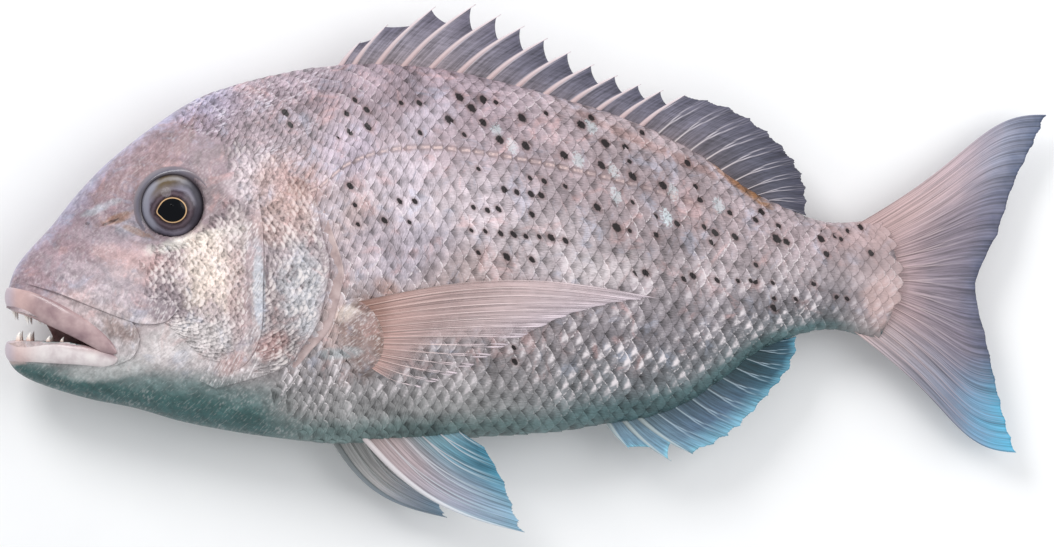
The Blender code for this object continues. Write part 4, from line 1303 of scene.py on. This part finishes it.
def small_places(surface, span, run, pitch, row_pitch, wanted):
    """Middles of small scales over a surface, where wanted says that the fish has them."""
    made = []
    for row in range(int(run[0] / row_pitch), int(run[1] / row_pitch)):
        v = row * row_pitch
        u = np.arange(span[0] + (pitch / 2 if row % 2 else 0), span[1], pitch)
        x, y = surface(u, np.full_like(u, v)).T[:2]
        clear = np.hypot(x - EYE_CENTRE[0], y - EYE_CENTRE[1]) > EYE_CLEAR
        keep = np.flatnonzero((chance.uniform(size=len(u)) < wanted(x, y)) & clear)
        off = chance.normal(0, 0.13, (len(keep), 2)) * (pitch, row_pitch)
        size = chance.uniform(0.85, 1.2, len(keep))
        made += [(u[k] + du, v + dv, grown, row + 100, 1.0) for k, (du, dv), grown in zip(keep, off, size)]
    return np.array(made)


def bare_skin(u, v):
    """The skin of the head as a surface for scales."""
    return np.stack([u, v, half_depth(u, v) + np.maximum(relief(u, v), -0.2)], -1)


def head_scales(look):
    """The small scales of the gill covers, cheeks and temples."""
    gill, gill_length = plate_surface(GILL_INNER, GILL_EDGE, GILL_LIFT)
    cheek, cheek_length = plate_surface(CHEEK_INNER, CHEEK_EDGE, CHEEK_LIFT)

    def on_gill(x, y):
        return ease(110.5, 116, x)

    def on_cheek(x, y):
        return ease(1.35, 0.6, ((x - 90) / 27) ** 2 + ((y + 12) / 36) ** 2)

    def on_temple(x, y):
        clear = (x < curve(SCALES_BEGIN, y) + 1) * ((y > 31) | (x < 111))
        return ease(118, 140, x + y * 0.9) * ease(92, 106, x) * clear

    beds = (
        ("gill_scales_", gill, (-27.5, -2.2), (0.5, gill_length * 0.95), 3.1, 2.5, on_gill),
        ("cheek_scales_", cheek, (-54, -8.5), (-2, cheek_length * 0.95), 2.9, 2.3, on_cheek),
        ("temple_scales_", bare_skin, (72, 136), (8, 68), 3.0, 2.4, on_temple),
    )
    for name, surface, span, run, pitch, row_pitch, wanted in beds:
        places = small_places(surface, span, run, pitch, row_pitch, wanted)
        for end, side in SIDE_NAMES:
            lay_scales(name + end, places, side, look, surface, pitch, row_pitch, HEAD_SCALE_LIFT)


# Fins


def bowed(root, tip, bow, late, t):
    """Places a share t of the way up a ray."""
    root, tip = np.array(root, float), np.array(tip, float)
    bend = bow * np.sin(math.pi * t**late) / math.dist(root, tip)
    x = root[0] + (tip[0] - root[0]) * t - (tip[1] - root[1]) * bend
    y = root[1] + (tip[1] - root[1]) * t + (tip[0] - root[0]) * bend
    return np.stack([x, y], -1)


def standing(count, roots, tips, base, up):
    """Rays that stand along the back, or along the belly where up is -1."""
    rays = []
    for i in range(count):
        x, tip = float(curve(roots, i)), [float(v) for v in path(tips, i)]
        root = (x - 1.5, float(curve(base, x)) - up * FIN_SINK)
        rays.append((root, tip, up * STANDING_BOW * math.dist(root, tip), 1))
    return rays


def spread(count, roots, tips, bow, sink, late=1):
    """Rays that fan out from a short root, each sunk a little way into the body."""
    rays = []
    for i in range(count):
        t = i / (count - 1)
        root, tip = np.array([float(v) for v in path(roots, t)]), np.array([float(v) for v in path(tips, t)])
        root = root - (tip - root) * sink / np.linalg.norm(tip - root)
        rays.append((root, tip, float(curve(bow, t)), late))
    return rays


def web(rays, first, last, rows, columns, reach, dip=0.0, branch=0.35, seed=0):
    """Membrane from ray first to ray last: places, how far across, how far along and how near a ray."""
    rough = np.random.default_rng(seed)
    t = np.linspace(0, 1, rows)
    c = np.linspace(first, last, (last - first) * columns + 1)
    places = np.zeros((len(c), rows, 2))
    near = np.zeros((len(c), rows))
    notch = rough.uniform(0, 1, len(c))
    for k, place in enumerate(c):
        i = min(int(place), last - 1)
        s = place - i
        low, high = reach(s)
        cut = 1 - dip * math.sin(math.pi * s) - dip * 0.5 * notch[k]
        a, b = bowed(*rays[i], t * low * cut), bowed(*rays[i + 1], t * high * cut)
        places[k] = a + (b - a) * s
        nearest = round(place)
        off = abs(place - nearest)
        fork = 0.14 * ease(branch, branch + 0.45, t)
        twig = 0.06 * ease(branch + 0.35, 1.0, t)
        wide = 0.062 - 0.026 * t
        gap = np.minimum(np.abs(off - fork - twig), np.abs(off - fork + twig))
        near[k] = np.exp(-((gap / wide) ** 2))
    across = np.broadcast_to(c[:, None], near.shape)
    along = np.broadcast_to(t[None], near.shape)
    return places, across, along, near


def web_shape(places, near, along, place, thin, ridge):
    """Points and faces of a closed thin sheet with raised rays.

    place gives its heights, from x, y, the share of the way up the rays, the half thickness and the side.
    """
    half = thin + ridge * near * (1 - 0.75 * along)
    x, y = places[..., 0], places[..., 1]
    points = np.concatenate([
        np.stack([x, y, place(x, y, along, side * half, side)], -1).reshape(-1, 3) for side in (1, -1)
    ])
    return points, sheet_faces(*near.shape)


def fin_piece(name, sheets, place, look, thin=0.22, ridge=0.6):
    """A fin's membranes as one piece."""
    shapes, fields = [], {"across": [], "along": [], "ray": []}
    for places, across, along, near in sheets:
        shapes.append(web_shape(places, near, along, place, thin, ridge))
        for key, values in (("across", across), ("along", along), ("ray", near)):
            fields[key].append(np.tile(values.ravel(), 2))
    joined = {key: np.concatenate(values) for key, values in fields.items()}
    piece(name, *gathered(shapes), look, fields=joined)


def spine_reach(s):
    """How far up each of two spines the membrane between them goes, a share s of the way across it."""
    shares = [0, 0.3, 0.88, 1]
    return np.interp(s, shares, [0.95, 0.9, 0.82, 0.8]), np.interp(s, shares, [0.76, 0.74, 0.7, 0.7])


def full_reach(s):
    """Membrane that goes up to the tips of its rays."""
    return 1.0, 1.0


def upright(x, y, t, off, side):
    """Heights on a fin that stands on the fish's middle plane, with a slight wave at its edge."""
    return middle(x) + 0.9 * t * np.sin(x / 19.0) + off


def spines(name, rays, place, look, wide):
    """Stiff tapered spines with sharp points."""
    parts, along, sides = [], [], 12
    for ray in rays:
        t = np.linspace(0.06, 1, 30)
        flat = bowed(*ray, t)
        route = np.stack([flat[:, 0], flat[:, 1], place(flat[:, 0], flat[:, 1], t, 0 * t, 0)], -1)
        parts.append(tube(route, wide * (1.02 - t**1.6 * 0.9), sides))
        along.append(np.repeat(t, sides))
    along = np.concatenate(along)
    fields = {"along": along, "ray": 0 * along + 1, "across": 0 * along}
    piece(name, *gathered(parts), look, fields=fields)


def median_fins(looks):
    """The back fin, the rear belly fin and the tail fin."""
    dorsal = standing(DORSAL_RAYS, DORSAL_ROOTS, DORSAL_TIPS, BACK, 1)
    stiff = DORSAL_SPINES - 1
    sheets = [web(dorsal, i, i + 1, 30, 12, spine_reach, seed=i, branch=5) for i in range(stiff)]
    sheets.append(web(dorsal, stiff, DORSAL_RAYS - 1, 40, 14, full_reach, dip=0.035, branch=0.3, seed=50))
    fin_piece("dorsal_fin", sheets, upright, looks["dorsal"])
    spines("dorsal_spines", dorsal[:DORSAL_SPINES], upright, looks["spine"], 1.25)
    anal = standing(ANAL_RAYS, ANAL_ROOTS, ANAL_TIPS, BELLY, -1)
    stiff = ANAL_SPINES - 1
    sheets = [web(anal, i, i + 1, 30, 12, spine_reach, seed=80 + i, branch=5) for i in range(stiff)]
    sheets.append(web(anal, stiff, ANAL_RAYS - 1, 40, 14, full_reach, dip=0.04, branch=0.35, seed=90))
    fin_piece("anal_fin", sheets, upright, looks["anal"])
    spines("anal_spines", anal[:ANAL_SPINES], upright, looks["anal_spine"], 1.2)
    tail = spread(TAIL_RAYS, TAIL_ROOTS, TAIL_TIPS, [(0, TAIL_BOW), (0.5, 0), (1, -TAIL_BOW)], 4.0, 3)
    sheet = web(tail, 0, TAIL_RAYS - 1, 64, 14, full_reach, dip=0.008, branch=0.22, seed=120)

    def tail_place(x, y, t, off, side):
        return upright(x, y, t, off + side * 1.3 * (1 - ease(0, 0.35, t)), side)

    fin_piece("tail_fin", [sheet], tail_place, looks["tail"], thin=0.3, ridge=0.5)


def paired_fins(looks):
    """The side fins, folded back along the flanks, and the belly fins, which hang down and back."""
    rays = spread(PECTORAL_RAYS, PECTORAL_ROOTS, PECTORAL_TIPS, PECTORAL_BOW, 3.0)
    for name, flank in SIDE_NAMES:

        def folded(x, y, t, off, side, flank=flank):
            stand = PECTORAL_STAND * np.minimum(1.0, 0.35 + 3 * t) * (1 - 0.3 * t) + off * flank
            return np.maximum(middle(x) + flank * (half_depth(x, y) + stand), 0.3 + off * flank * 0.2)

        sheet = web(rays, 0, PECTORAL_RAYS - 1, 60, 12, full_reach, dip=0.02, branch=0.5, seed=200)
        fin_piece("pectoral_fin_" + name, [sheet], folded, looks["pectoral"], thin=0.16, ridge=0.5)
    pelvics = (
        ("left", 1, LEFT_PELVIC_ROOTS, LEFT_PELVIC_TIPS),
        ("right", -1, RIGHT_PELVIC_ROOTS, RIGHT_PELVIC_TIPS),
    )
    for name, flank, roots, tips in pelvics:

        def hanging(x, y, t, off, side, flank=flank):
            return middle(x) + flank * (5.0 + 9.0 * t) + off

        rays_here = spread(PELVIC_RAYS, roots, tips, [(0, PELVIC_BOW), (1, 0)], 5.0)
        sheet = web(rays_here, 0, PELVIC_RAYS - 1, 50, 28, full_reach, dip=0.02, branch=0.12, seed=240)
        fin_piece("pelvic_fin_" + name, [sheet], hanging, looks["pelvic_" + name], thin=0.24, ridge=0.6)
        spines("pelvic_spine_" + name, rays_here[:1], hanging, looks["pelvic_spine_" + name], 1.3)


def fin_roots(look):
    """The fleshy lobes that carry the side fins."""
    (wide, tall), rings, sides = FIN_ROOT_SIZE, 26, 90
    q, turn = np.meshgrid(np.linspace(0.02, 1, rings), turns(sides), indexing="ij")
    u, v = turned(wide * q * np.cos(turn), tall * q * np.sin(turn), -FIN_ROOT_LEAN)
    x, y = FIN_ROOT[0] + u, FIN_ROOT[1] + v
    swell = FIN_ROOT_RISE * (1 - q**2) ** 1.2 - 0.5 * ease(0.9, 1.0, q)
    faces = grid_faces(rings, sides, closed=True) + [list(range(sides))]
    for name, side in SIDE_NAMES:
        z = np.maximum(middle(x) + side * (half_depth(x, y) + 0.4 + swell), FIN_FLOOR)
        points = np.stack([x, y, z], -1)
        piece("fin_root_" + name, points, faces, look, fields={"rise": height_share(x, y)}, side=side)


def fin_looks():
    """The materials of the fins, each with its membrane and rays from the root outwards."""
    return {
        "dorsal": fin_finish(
            "dorsal_membrane",
            [(0, (160, 138, 138)), (0.25, (138, 128, 134)), (0.6, (132, 126, 138)), (1, (96, 92, 108))],
            [(0, (226, 210, 204)), (0.5, (218, 210, 218)), (1, (152, 148, 162))],
            streaks=0.42, bars=1.1,
            webs_down=[
                (3.0, 7.0, [
                    (0, (138, 118, 119)), (0.25, (110, 103, 111)), (0.6, (106, 103, 117)), (1, (80, 79, 95)),
                ]),
                (13.5, 18.0, [
                    (0, (104, 90, 92)), (0.25, (82, 78, 87)), (0.6, (80, 80, 94)), (1, (58, 58, 74)),
                ]),
            ],
        ),
        "spine": fin_finish(
            "dorsal_spine",
            [(0, (190, 160, 160)), (1, (222, 208, 212))],
            [(0, (186, 156, 154)), (0.4, (204, 184, 186)), (1, (228, 218, 222))],
        ),
        "anal": fin_finish(
            "anal_membrane",
            [
                (0, (110, 132, 138)), (0.35, (104, 127, 141)), (0.7, (106, 134, 153)),
                (0.93, (112, 150, 172)), (1, (124, 180, 200)),
            ],
            [(0, (170, 184, 186)), (0.5, (172, 190, 204)), (1, (136, 174, 192))],
            streaks=0.42, bars=0.5,
            webs_down=[
                (1.5, 4.0, [
                    (0, (76, 94, 100)), (0.35, (74, 94, 110)), (0.7, (80, 103, 126)), (1, (116, 170, 192)),
                ]),
                (5.0, 8.5, [
                    (0, (42, 68, 74)), (0.5, (34, 60, 70)), (0.85, (44, 82, 100)), (1, (84, 142, 164)),
                ]),
            ],
        ),
        "anal_spine": fin_finish(
            "anal_spine",
            [(0, (150, 160, 162)), (1, (170, 188, 196))],
            [(0, (152, 160, 158)), (1, (172, 190, 198))],
        ),
        "tail": fin_finish(
            "tail_membrane",
            [
                (0, (172, 144, 142)), (0.3, (188, 162, 162)), (0.6, (182, 162, 168)), (0.85, (140, 142, 160)),
                (1, (84, 94, 118)),
            ],
            [(0, (206, 178, 174)), (0.5, (182, 166, 172)), (1, (124, 128, 150))],
            streaks=0.48,
            webs_down=[
                (2.0, 5.5, [
                    (0, (170, 142, 139)), (0.25, (160, 138, 142)), (0.5, (130, 118, 127)),
                    (0.78, (116, 108, 122)), (0.93, (94, 94, 114)), (1, (72, 76, 98)),
                ]),
                (10.5, 14.5, [
                    (0, (172, 146, 142)), (0.2, (164, 149, 152)), (0.45, (136, 134, 146)),
                    (0.68, (118, 128, 148)), (0.86, (104, 148, 178)), (1, (84, 164, 196)),
                ]),
            ],
        ),
        "pectoral": fin_finish(
            "pectoral_membrane",
            [(0, (136, 100, 88)), (0.14, (182, 150, 144)), (0.6, (226, 204, 204)), (1, (214, 200, 208))],
            [(0, (206, 178, 168)), (0.5, (232, 214, 212)), (1, (234, 222, 228))],
            clear=0.55, streaks=0.55,
        ),
        "pelvic_left": fin_finish(
            "pelvic_membrane_left",
            [(0, (164, 147, 145)), (0.3, (168, 153, 157)), (0.7, (146, 153, 170)), (1, (128, 164, 186))],
            [(0, (196, 184, 184)), (0.5, (192, 198, 206)), (1, (150, 192, 208))],
            streaks=0.46,
            webs_down=[
                (1.2, 3.6, [
                    (0, (114, 142, 148)), (0.4, (94, 134, 150)), (0.8, (62, 110, 130)), (1, (72, 134, 158)),
                ]),
            ],
        ),
        "pelvic_right": fin_finish(
            "pelvic_membrane_right",
            [(0, (170, 170, 168)), (0.5, (184, 181, 181)), (0.8, (158, 167, 181)), (1, (132, 158, 178))],
            [(0, (188, 186, 180)), (1, (172, 188, 200))],
            streaks=0.4,
        ),
        "pelvic_spine_left": fin_finish(
            "pelvic_spine_left",
            [(0, (200, 186, 186)), (1, (204, 214, 222))],
            [(0, (210, 198, 198)), (0.6, (214, 216, 222)), (1, (176, 204, 218))],
        ),
        "pelvic_spine_right": fin_finish(
            "pelvic_spine_right",
            [(0, (136, 138, 136)), (1, (136, 148, 160))],
            [(0, (134, 136, 134)), (1, (128, 146, 162))],
        ),
    }


# Table, light and camera


def table_top():
    """The plain pale table."""
    f = Finish("table_top")
    grain = f.noise(30, 2, 0.5)
    f.done(base_color=f.mix(tone(243, 243, 244), tone(248, 248, 248), grain), roughness=0.7)
    mesh = bpy.data.meshes.new("table_top")
    corners = [(x * TABLE_REACH, y * TABLE_REACH, 0) for x, y in ((-1, -1), (1, -1), (1, 1), (-1, 1))]
    mesh.from_pydata(corners, [], [[0, 1, 2, 3]])
    mesh.materials.append(f.material)
    made = bpy.data.objects.new("table_top", mesh)
    bpy.context.scene.collection.objects.link(made)


def lamp(name, place, aim, size, power):
    """A round soft lamp that points at a place."""
    light = bpy.data.lights.new(name, "AREA")
    light.shape, light.size, light.energy = "DISK", size, power
    made = bpy.data.objects.new(name, light)
    bpy.context.scene.collection.objects.link(made)
    made.location = place
    direction = [a - b for a, b in zip(aim, place)]
    flat = math.hypot(direction[0], direction[1])
    turn = math.atan2(direction[1], direction[0]) - math.pi / 2
    made.rotation_euler = (math.atan2(flat, -direction[2]), 0, turn)


def studio():
    """Soft light from a pale room and two lamps, and the camera straight above the fish."""
    scene = bpy.context.scene
    scene.view_settings.view_transform = "Standard"
    scene.world = bpy.data.worlds.new("pale_room")
    scene.world.use_nodes = True
    back = scene.world.node_tree.nodes["Background"]
    back.inputs["Color"].default_value = ROOM_COLOUR
    back.inputs["Strength"].default_value = ROOM_STRENGTH
    lamp("key", KEY_PLACE, KEY_AIM, size=0.7, power=9.5)
    lamp("fill", FILL_PLACE, FILL_AIM, size=1.2, power=9)
    camera = bpy.data.cameras.new("camera")
    camera.sensor_width, camera.lens = 36.0, CAMERA_LENS
    camera.clip_start, camera.clip_end = 0.05, 20
    made = bpy.data.objects.new("camera", camera)
    scene.collection.objects.link(made)
    made.location = CAMERA_PLACE
    made.rotation_euler = (0, 0, 0)
    scene.camera = made


def main():
    """Dresses the fish from the skin outwards, then sets the table, the light and the camera."""
    skin, silver, lips = skin_finish(), plate_finish(), lip_finish()
    lining, skirt = mouth_finish(), skirt_finish()
    body_skin(skin, lining)
    eyes(eye_finish(), eyelid_finish())
    lip("upper_lip", UPPER_LIP, UPPER_LIP_SIZE, lips)
    lip("lower_lip", LOWER_LIP, LOWER_LIP_SIZE, lips)
    teeth(tooth_finish())
    mouth_inside(lining)
    for name, side in SIDE_NAMES:
        plate("gill_cover_" + name, side, GILL_INNER, GILL_EDGE, GILL_LIFT, silver)
        plate("cheek_bone_" + name, side, CHEEK_INNER, CHEEK_EDGE, CHEEK_LIFT, silver)
        plate("snout_bone_" + name, side, SNOUT_INNER, SNOUT_EDGE, SNOUT_LIFT, silver)
        plate("jaw_bone_" + name, side, JAW_INNER, JAW_EDGE, JAW_LIFT, silver)
        gill_skirt(name, side, skirt)
    places = flank_places()
    tiles = scale_finish()
    head_scales(head_scale_finish())
    for name, side in SIDE_NAMES:
        lay_scales("scales_" + name, places, side, tiles)
    looks = fin_looks()
    median_fins(looks)
    paired_fins(looks)
    fin_roots(skin)
    table_top()
    studio()


main()
